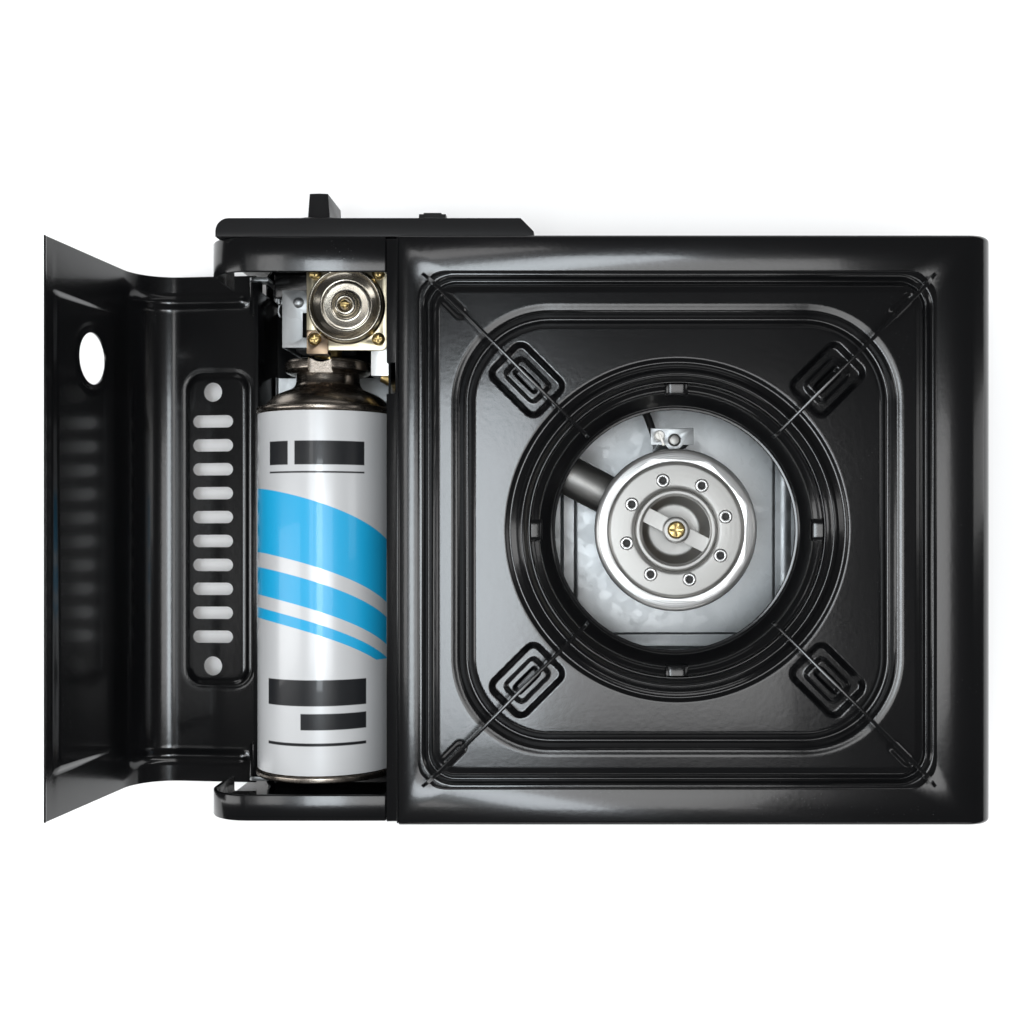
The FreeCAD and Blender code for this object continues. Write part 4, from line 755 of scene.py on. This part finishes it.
class STOVE_OT_lid(bpy.types.Operator):
    """Makes the open lid: bent sheet, pressed panel, ribs, slots and holes"""

    bl_idname = "stove.lid"
    bl_label = "Bay lid"

    def execute(self, context):
        rows, cols = 236, 128
        s, y = np.broadcast_arrays(np.linspace(0, LID_TOTAL, cols)[None],
                                   np.linspace(-130.0, 129.0, rows)[:, None])
        lift = np.zeros((rows, cols))
        panel = block_gap(s, y, 20.0, -0.5, 16.0, 79.0, 8.0)
        lift += 1.3 * soft(-panel / 1.6) - 0.5 * soft(1 - np.abs(panel - 1.2) / 1.6)
        for rib in (-117.0, 116.0):
            ends = soft((s - 3.0) / 5.0) * soft((70.0 - s) / 9.0)
            lift += 1.7 * soft(1 - np.abs(y - rib) / 4.2) * ends
        border = block_gap(s, y, 136.0, 0.8, 54.0, 108.0, 9.0)
        lift += 1.1 * soft(-border / 2.0)
        finger = np.hypot(s - 105.0, y + 81.2)
        lift -= 0.7 * soft(1 - np.abs(finger - 15.0) / 2.6)
        lift += 0.35 * np.sin(y / 41.0) * soft((s - 85) / 40)
        lift *= soft((LID_TOTAL - 6.5 - s) / 4.0)
        lift[:, -1] += 0.7
        mesh = grid_mesh("lid", lid_point(s, y, lift))
        piece = new_piece("lid_sheet", mesh, "black_enamel", "lid", 40.0)
        thicken(piece, sizes().sheet, 0.0)
        cutters = bmesh.new()
        places = [(22.4, -0.5 + (i - 4.5) * 12.25, 21.4, 6.4) for i in range(10)]
        places += [(22.4, -0.5 + k * 70.1, 9.8, 9.8) for k in (-1, 1)]
        places += [(105.0, -81.2, 24.5, 24.5)]
        for cs, cy, length, width in places:
            a = np.linspace(0, 2 * np.pi, 40, endpoint=False)
            ds = np.cos(a) * width / 2 + np.sign(np.cos(a)) * (length - width) / 2
            dy = np.sin(a) * width / 2
            prism(cutters, *[lid_point(cs + ds, cy + dy, np.full(40, h)) for h in (-6.0, 6.0)])
        bmesh.ops.recalc_face_normals(cutters, faces=cutters.faces)
        cut_with(piece, cutters, 40)
        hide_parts("lid")
        for k, y0 in enumerate((-124.0, 107.0)):
            barrel = lathe("barrel", [(1.7, 0), (3.2, 0), (3.2, 16.0), (1.7, 16.0)], 0.3,
                           (HINGE[0], BURNER.y + (y0 + 16.0) * MM, HINGE[2]), axis="-Y", steps=40)
            new_piece("lid_barrel_%d" % (k + 1), barrel, "black_enamel", "lid", 40.0)
            u, yy = np.broadcast_arrays(np.linspace(0, 1, 12)[None],
                                        np.linspace(y0, y0 + 16.0, 9)[:, None])
            px = HINGE[0] + (2.6 - 1.4 * u) * MM
            pz = HINGE[2] + (-1.6 - 9.8 * u) * MM
            py = BURNER.y + yy * MM
            leaf = new_piece("lid_leaf_%d" % (k + 1), grid_mesh("leaf", np.stack([px, py, pz], -1)),
                             "black_enamel", "lid", 40.0)
            thicken(leaf, 0.001, 0.0)
        return {"FINISHED"}


def cut_box(piece, low, high):
    """Cuts an upright box between two corners, in metres, out of a piece."""
    bm = bmesh.new()
    bmesh.ops.create_cube(bm, size=1.0)
    for vert in bm.verts:
        for i in range(3):
            vert.co[i] = (low[i] + high[i]) / 2 + vert.co[i] * (high[i] - low[i])
    cut_with(piece, bm, 35)


class STOVE_OT_cartridge(bpy.types.Operator):
    """Makes the gas cartridge: drawn shell, seams, dome, notched collar, stem and sleeve"""

    bl_idname = "stove.cartridge"
    bl_label = "Cartridge"

    def execute(self, context):
        s, seam, r = CAN_LENGTH, CAN_SEAM_R, CAN_R

        def part(name, corners, rounds, slot, node, steps=176):
            mesh = lathe(name, corners, rounds, CAN_BASE, "-Y", steps)
            piece = new_piece(name, mesh, slot, "canister", 40.0)
            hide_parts(node)
            return piece

        part("can_shell", [(0, 7.0), (21.0, 6.6), (r - 1.8, 3.2), (r, 3.2), (r, s), (0, s)], 0.4,
             "tinplate", "canister_body")
        part("can_base", [(0, 6.6), (0, 5.2), (20.0, 4.6), (r - 3.5, 1.0), (r - 2.0, 0), (seam, 0),
                          (seam, 2.8), (r, 3.1), (r - 2.2, 3.1), (20.6, 6.2)],
             [0, 0, 5.0, 1.4, 0.9, 0.9, 0.8, 0.1, 0.5, 4.0], "tinplate", "canister_base")
        part("can_dome", [(0, s), (r, s), (r + 0.1, s + 0.4), (seam, s + 0.5), (seam, s + 3.0),
                          (r - 1.7, s + 2.9), (r - 2.3, s + 2.0), (r - 3.4, s + 4.6),
                          (r - 7.4, s + 9.0), (16.6, s + 12.6), (15.2, s + 15.0),
                          (15.0, s + 19.0), (0, s + 19.0)],
             [0, 0.2, 0.3, 0.9, 0.9, 0.6, 0.7, 2.4, 5.0, 3.0, 1.8, 0.3, 0], "tinplate", "canister_dome")
        s += 19.0
        collar = part("can_collar", [(0, s), (17.5, s), (20.5, s + 1.6), (20.5, s + 5.8),
                                     (19.0, s + 7.0), (17.2, s + 7.0), (15.6, s + 3.4),
                                     (13.6, s + 1.2), (0, s + 1.2)],
                      [0, 1.0, 1.0, 1.0, 0.8, 0.8, 1.5, 0.8, 0], "tinplate", "canister_collar")
        y = BURNER.y + (CAN_BACK_Y - s) * MM
        cut_box(collar, (CAN.x - 5.5 * MM, y - 8 * MM, CAN.z + 16.3 * MM),
                (CAN.x + 5.5 * MM, y + 1 * MM, CAN.z + 22 * MM))
        part("can_stem", [(0, s + 1.2), (3.4, s + 1.2), (3.4, s + 1.6), (2.0, s + 2.1),
                          (2.0, s + 7.0), (0.8, s + 7.0), (0.8, s + 4.0), (0, s + 4.0)],
             0.2, "ceramic", "canister_stem", 40)
        part("can_sleeve", [(33.02, 3.7), (33.25, 3.5), (33.25, 171.7), (33.02, 171.5)],
             [0, 0.12, 0.12, 0], "label", "canister_label", 220)
        return {"FINISHED"}


class STOVE_OT_burner(bpy.types.Operator):
    """Makes the burner's ring, plates, eyelets and disc and dresses its castings"""

    bl_idname = "stove.burner"
    bl_label = "Burner"

    centre = (BURNER.x, BURNER.y, 0.0)

    def execute(self, context):
        self.ring_and_shade_dish()
        dress_node("burner_cup", "cast_aluminium", 0.4)
        self.floor_plate()
        self.flame_plate()
        self.centre_disc()
        self.eyelets()
        dress_node("centre_screw", "brass", 0.15)
        dress_node("mixing_tube", "grey_tube", 0.2)
        dress_node("igniter_screw", "stainless", 0.1)
        dress_node("electrode", "ceramic", 0.0)
        return {"FINISHED"}

    def ring_and_shade_dish(self):
        """A ring inside the burner head, and a dish deep in the cup in darker steel than the cup's
        aluminium, as painted shade for the interior seen through the disc's windows.

        The case operator dresses burner_head as well, so the ring lies under that dress.
        """
        z = HEAD_TOP
        head = lathe("head", [(31.4, z - 1.6), (32.0, z - 0.3), (36.4, z - 0.8), (37.3, z - 1.9),
                              (37.3, z - 9.0), (31.4, z - 9.0)], [0.1, 0.35, 0.7, 0.6, 0.2, 0.1],
                     self.centre, steps=240)
        head = new_piece("head_ring", head, "cast_aluminium", "stove", 30.0)
        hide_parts("burner_head")
        # painted shade: this dish is darker steel, not the cup's aluminium, so the interior seen
        # through the windows looks shaded
        floor = lathe("well", [(0, z - 16.0), (12.0, z - 16.0), (17.6, z - 12.0), (17.6, z - 12.6),
                               (12.0, z - 16.6), (0, z - 16.6)], [0, 1.0, 0.1, 0.1, 1.0, 0],
                      self.centre, steps=96)
        new_piece("cup_floor", floor, "grey_tube", "stove", 40.0)

    def flame_plate(self):
        """The plate that carries the ports, a ring from the disc out to the head's seam."""
        z = HEAD_TOP
        plate = lathe("plate", [(18.95, z - 1.0), (31.3, z - 1.0), (31.3, z - 0.5), (30.1, z + 0.4),
                                (20.3, z + 0.4), (18.95, z - 0.3)], [0.1, 0.1, 0.4, 0.7, 0.9, 0.2],
                      self.centre, steps=180)
        plate = new_piece("flame_plate_sheet", plate, "stainless", "stove", 35.0)
        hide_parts("flame_plate")

    def centre_disc(self):
        """The disc with two windows, which leave a bar of half width b through its hub.

        Each window lies between the circles of radius rim and hub, and each circle starts at
        the angle asin(b / radius) from the bar.
        """
        z = HEAD_TOP
        disc = lathe("disc", [(2.6, z - 1.0), (18.8, z - 1.0), (18.8, z), (18.2, z + 0.8),
                              (16.6, z + 0.8), (15.8, z + 0.2), (6.2, z + 0.2), (5.4, z + 0.8),
                              (2.6, z + 0.8)],
                     [0, 0.2, 0.5, 0.5, 0.4, 0.5, 0.5, 0.5, 0], self.centre, steps=150)
        disc = new_piece("disc_sheet", disc, "stainless", "stove", 35.0)
        rim, hub, bar = 15.6, 6.1, 3.4
        turn = math.radians(-27.0)
        edge, inner = math.asin(bar / rim), math.asin(bar / hub)
        bm = bmesh.new()
        for side in (-1, 1):
            loop = [(rim * math.cos(a), side * rim * math.sin(a))
                    for a in np.linspace(edge, math.pi - edge, 48)]
            loop += [(hub * math.cos(a), side * hub * math.sin(a))
                     for a in np.linspace(math.pi - inner, inner, 24)]
            prism(bm, *[[(BURNER.x + (p * math.cos(turn) - q * math.sin(turn)) * MM,
                          BURNER.y + (p * math.sin(turn) + q * math.cos(turn)) * MM,
                          h * MM) for p, q in loop] for h in (z - 4.0, z + 4.0)])
        bmesh.ops.recalc_face_normals(bm, faces=bm.faces)
        cut_with(disc, bm, 35)
        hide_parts("centre_disc")

    def eyelets(self):
        """Eight rolled eyelets on the port circle, each with a matte black disc inside as painted shade
        for the depth of its hole.
        """
        z = HEAD_TOP
        circle, first, count = 23.4 * MM, 150.0, 8
        for k in range(count):
            w = math.radians(first + 360.0 / count * k)
            spot = (BURNER.x + circle * math.cos(w), BURNER.y + circle * math.sin(w), 0.0)
            mesh = lathe("eyelet", [(1.5, z - 1.6), (2.05, z - 1.6), (2.05, z + 0.35), (3.2, z + 0.35),
                                    (3.2, z + 0.9), (2.7, z + 1.5), (1.8, z + 1.5), (1.5, z + 0.9)],
                         [0, 0, 0, 0.1, 0.5, 0.5, 0.4, 0.4], spot, steps=44)
            eyelet = new_piece("eyelet_%d" % (k + 1), mesh, "cast_aluminium", "stove", 35.0)
            if k == 0:
                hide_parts("port_eyelets")
            # painted shade: a matte black disc stands in for the dark depth of the port hole
            hole_shade = lathe("port", [(0, z + 0.42), (1.6, z + 0.42), (1.6, z + 0.9), (1.0, z + 0.62),
                                  (0, z + 0.55)], [0, 0.1, 0.1, 0.3, 0], spot, steps=28)
            new_piece("port_%d" % (k + 1), hole_shade, "matte_black", "stove", 35.0)

    def floor_plate(self):
        """The galvanised plate under the burner, and the tray floor with its groove and shelf.

        Both heights, in mm, are smooth steps of the distance from a rounded rectangle, the
        plate's raised field: the plate drops past its edge and the tray rises beyond it.
        """
        cx, cy, hx, hy, corner = PLATE_FIELD
        u = np.linspace(-1, 1, 150)
        x, y = np.meshgrid(cx + 53.0 * u, cy + 63.0 * u, indexing="ij")
        z = 7.6 + 5.2 * soft(-block_gap(x, y, cx, cy, hx, hy, corner) / 1.8)
        z += 0.35 * np.sin(x / 23.0) * np.sin(y / 31.0)
        plate = self.sheet_piece("floor_plate", x, y, z)
        thicken(plate, 0.0006)
        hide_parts("base_plate")
        x, y = np.meshgrid(-8.5 + 132.0 * u, 129.0 * u, indexing="ij")
        z = 8.6 + 2.6 * soft((block_gap(x, y, cx, cy, hx, hy, corner) - 5.0) / 1.6)
        z += 0.2 * np.sin(x / 19.0) * np.sin(y / 27.0)
        self.sheet_piece("tray_floor", x, y, z)

    def sheet_piece(self, name, x, y, z):
        """A galvanised sheet over grids of x, y and height, with its face up."""
        pts = np.stack([BURNER.x + x * MM, BURNER.y + y * MM, z * MM], axis=-1)
        piece = new_piece(name, grid_mesh(name, pts), "galvanized", "stove", 40.0)
        if piece.data.polygons[0].normal.z < 0:
            piece.data.flip_normals()
        return piece


class STOVE_OT_regulator(bpy.types.Operator):
    """Makes the regulator's dished cover and dresses its plate, tongue and castings"""

    bl_idname = "stove.regulator"
    bl_label = "Regulator"

    def execute(self, context):
        spot = middle("diaphragm_cover")
        z = 70.0
        corners = [(0, z), (18.0, z), (18.0, z + 1.0), (17.3, z + 1.8), (16.9, z + 5.0),
                   (16.0, z + 5.2), (15.2, z + 3.6), (11.8, z + 1.3), (10.8, z + 1.9),
                   (6.2, z + 1.5), (4.9, z + 4.6), (3.3, z + 4.8), (2.7, z + 3.4), (0, z + 3.4)]
        rounds = [0, 0.2, 0.5, 0.5, 0.6, 0.6, 1.6, 1.0, 1.0, 1.4, 1.0, 0.6, 0.4, 0]
        mesh = lathe("cover", corners, rounds, (spot.x, spot.y, 0.0), steps=150, arc=7)
        cover = new_piece("dished_cover", mesh, "polished", "stove", 50.0)
        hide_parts("diaphragm_cover")
        dress_node("cover_screw", "brass", 0.12)
        dress_node("regulator_plate", "zinc_yellow", 0.3)
        dress_node("regulator_screws", "brass", 0.1)
        dress_node("regulator_body", "cast_aluminium", 0.4)
        dress_node("alignment_tongue", "brown_steel", 0.25)
        dress_node("regulator_bracket", "galvanized", 0.2)
        dress_node("jet", "brass", 0.15)
        return {"FINISHED"}


class STOVE_OT_case(bpy.types.Operator):
    """Dresses the case, its plates, the controls and every other part of the frame"""

    bl_idname = "stove.case"
    bl_label = "Case and controls"

    edges = {"top_panel": 0.5, "front_panel": 0.7, "knob": 0.6, "lever_tip": 0.8,
             "front_end_cap": 0.8, "rear_end_cap": 0.8, "partition": 0.15, "ledge": 0.3, "feet": 0.6,
             "igniter": 0.4, "bottom_case": 0.4, "bay_wall": 0.4, "ignition_lead": 0.0,
             "knob_pointer": 0.0}
    usual_edge = 0.2
    modelled = {"drip_pan", "pan_bowl", "lid", "canister_body", "canister_base", "canister_dome",
                "canister_collar", "canister_stem", "canister_label", "flame_plate", "centre_disc",
                "port_eyelets", "diaphragm_cover", "base_plate"}

    def execute(self, context):
        done = {piece.name.removesuffix("_dress") for piece in context.scene.objects
                if piece.name.endswith("_dress")}
        for part in frame["record"]["subparts"]:
            node = part["node"]
            if node not in done | self.modelled:
                dress_node(node, part["material_slot"], self.edges.get(node, self.usual_edge))
        return {"FINISHED"}


def area(name, place, aim, size, power, colour):
    """A soft box at a place that faces a point, both counted from the burner's axis."""
    origin = Vector((BURNER.x, BURNER.y, 0.0))
    place, aim = origin + Vector(place), origin + Vector(aim)
    light = bpy.data.lights.new(name, "AREA")
    light.shape = "RECTANGLE"
    light.size, light.size_y = size
    light.energy = power
    light.color = colour
    box = bpy.data.objects.new(name, light)
    box.location = place
    box.rotation_euler = (aim - place).to_track_quat("-Z", "Y").to_euler()
    bpy.context.scene.collection.objects.link(box)


class STOVE_OT_stage(bpy.types.Operator):
    """Sets the camera, soft boxes, floor and world"""

    bl_idname = "stove.stage"
    bl_label = "Studio"

    def execute(self, context):
        scene = context.scene
        self.camera(scene)
        for light in LIGHTS:
            area(*light)
        self.floor(scene)
        self.world(scene)
        scene.view_settings.view_transform = "Standard"
        scene.render.resolution_x = 1024
        scene.render.resolution_y = 1024
        scene.render.engine = "CYCLES"
        scene.cycles.samples = 256
        return {"FINISHED"}

    def camera(self, scene):
        """The photo's camera, straight above and a little to the bay's side of the burner."""
        camera = bpy.data.cameras.new("camera")
        camera.lens, camera.sensor_width = 42.96, 36.0
        camera.shift_x, camera.shift_y = -0.0713, 0.0176
        camera.clip_end = 20.0
        eye = bpy.data.objects.new("camera", camera)
        eye.location = (BURNER.x + 0.0417, BURNER.y, 0.640)
        eye.rotation_euler = (0.0, 0.0, math.pi)
        scene.collection.objects.link(eye)
        scene.camera = eye

    def floor(self, scene):
        """The white floor, lit a little from itself where the camera sees it."""
        side = np.linspace(-3, 3, 3)
        mesh = grid_mesh("floor", np.stack(np.broadcast_arrays(
            side[:, None], side[None], np.zeros((3, 3))), -1))
        floor = bpy.data.objects.new("floor", mesh)
        scene.collection.objects.link(floor)
        f = Finish("white floor")
        ray = f.node("ShaderNodeLightPath")
        f.set(Base_Color=tuple(sizes().backdrop), Roughness=0.8, Specular_IOR_Level=0.1,
              Emission_Color=(1.0, 1.0, 1.0), Emission_Strength=ray * 0.05)
        mesh.materials.append(f.material)

    def world(self, scene):
        """A white world: strength 0.95 for light, 1.05 to the camera and 0.05 in reflections."""
        world = bpy.data.worlds.new("studio")
        scene.world = world
        world.use_nodes = True
        tree = world.node_tree
        back = tree.nodes["Background"]
        path = tree.nodes.new("ShaderNodeLightPath")
        view = Val(tree, path.outputs["Is Camera Ray"])
        gloss = Val(tree, path.outputs["Is Glossy Ray"])
        back.inputs["Color"].default_value = (1.0, 1.0, 1.0, 1.0)
        put(tree, (1.0 - gloss) * 0.95 + view * 0.1 + gloss * 0.05, back.inputs["Strength"])


class STOVE_PT_panel(bpy.types.Panel):
    """The stove's sizes and pieces"""

    bl_label = "Stove"
    bl_idname = "STOVE_PT_panel"
    bl_space_type = "VIEW_3D"
    bl_region_type = "UI"
    bl_category = "Stove"

    def draw(self, context):
        group = context.scene.stove_sizes
        for name in ("sheet", "pan_rows", "pan_turns", "backdrop"):
            self.layout.prop(group, name)
        for kind in PIECES + (STOVE_OT_stage,):
            self.layout.operator(kind.bl_idname)


PIECES = (STOVE_OT_pan, STOVE_OT_bowl, STOVE_OT_lid, STOVE_OT_cartridge, STOVE_OT_burner,
          STOVE_OT_regulator, STOVE_OT_case)
CLASSES = (StoveSizes,) + PIECES + (STOVE_OT_stage, STOVE_PT_panel)


def register():
    """Registers the add-on's classes and the scene's size group."""
    for kind in CLASSES:
        bpy.utils.register_class(kind)
    bpy.types.Scene.stove_sizes = bpy.props.PointerProperty(type=StoveSizes)


def unregister():
    """Takes the classes and the size group away again."""
    del bpy.types.Scene.stove_sizes
    for kind in reversed(CLASSES):
        bpy.utils.unregister_class(kind)


def main():
    """Makes every piece and the studio."""
    register()
    make_finishes()
    ops = bpy.ops.stove
    for step in (ops.pan, ops.bowl, ops.lid, ops.cartridge, ops.burner, ops.regulator, ops.case,
                 ops.stage):
        step()


if __name__ == "__main__":
    main()
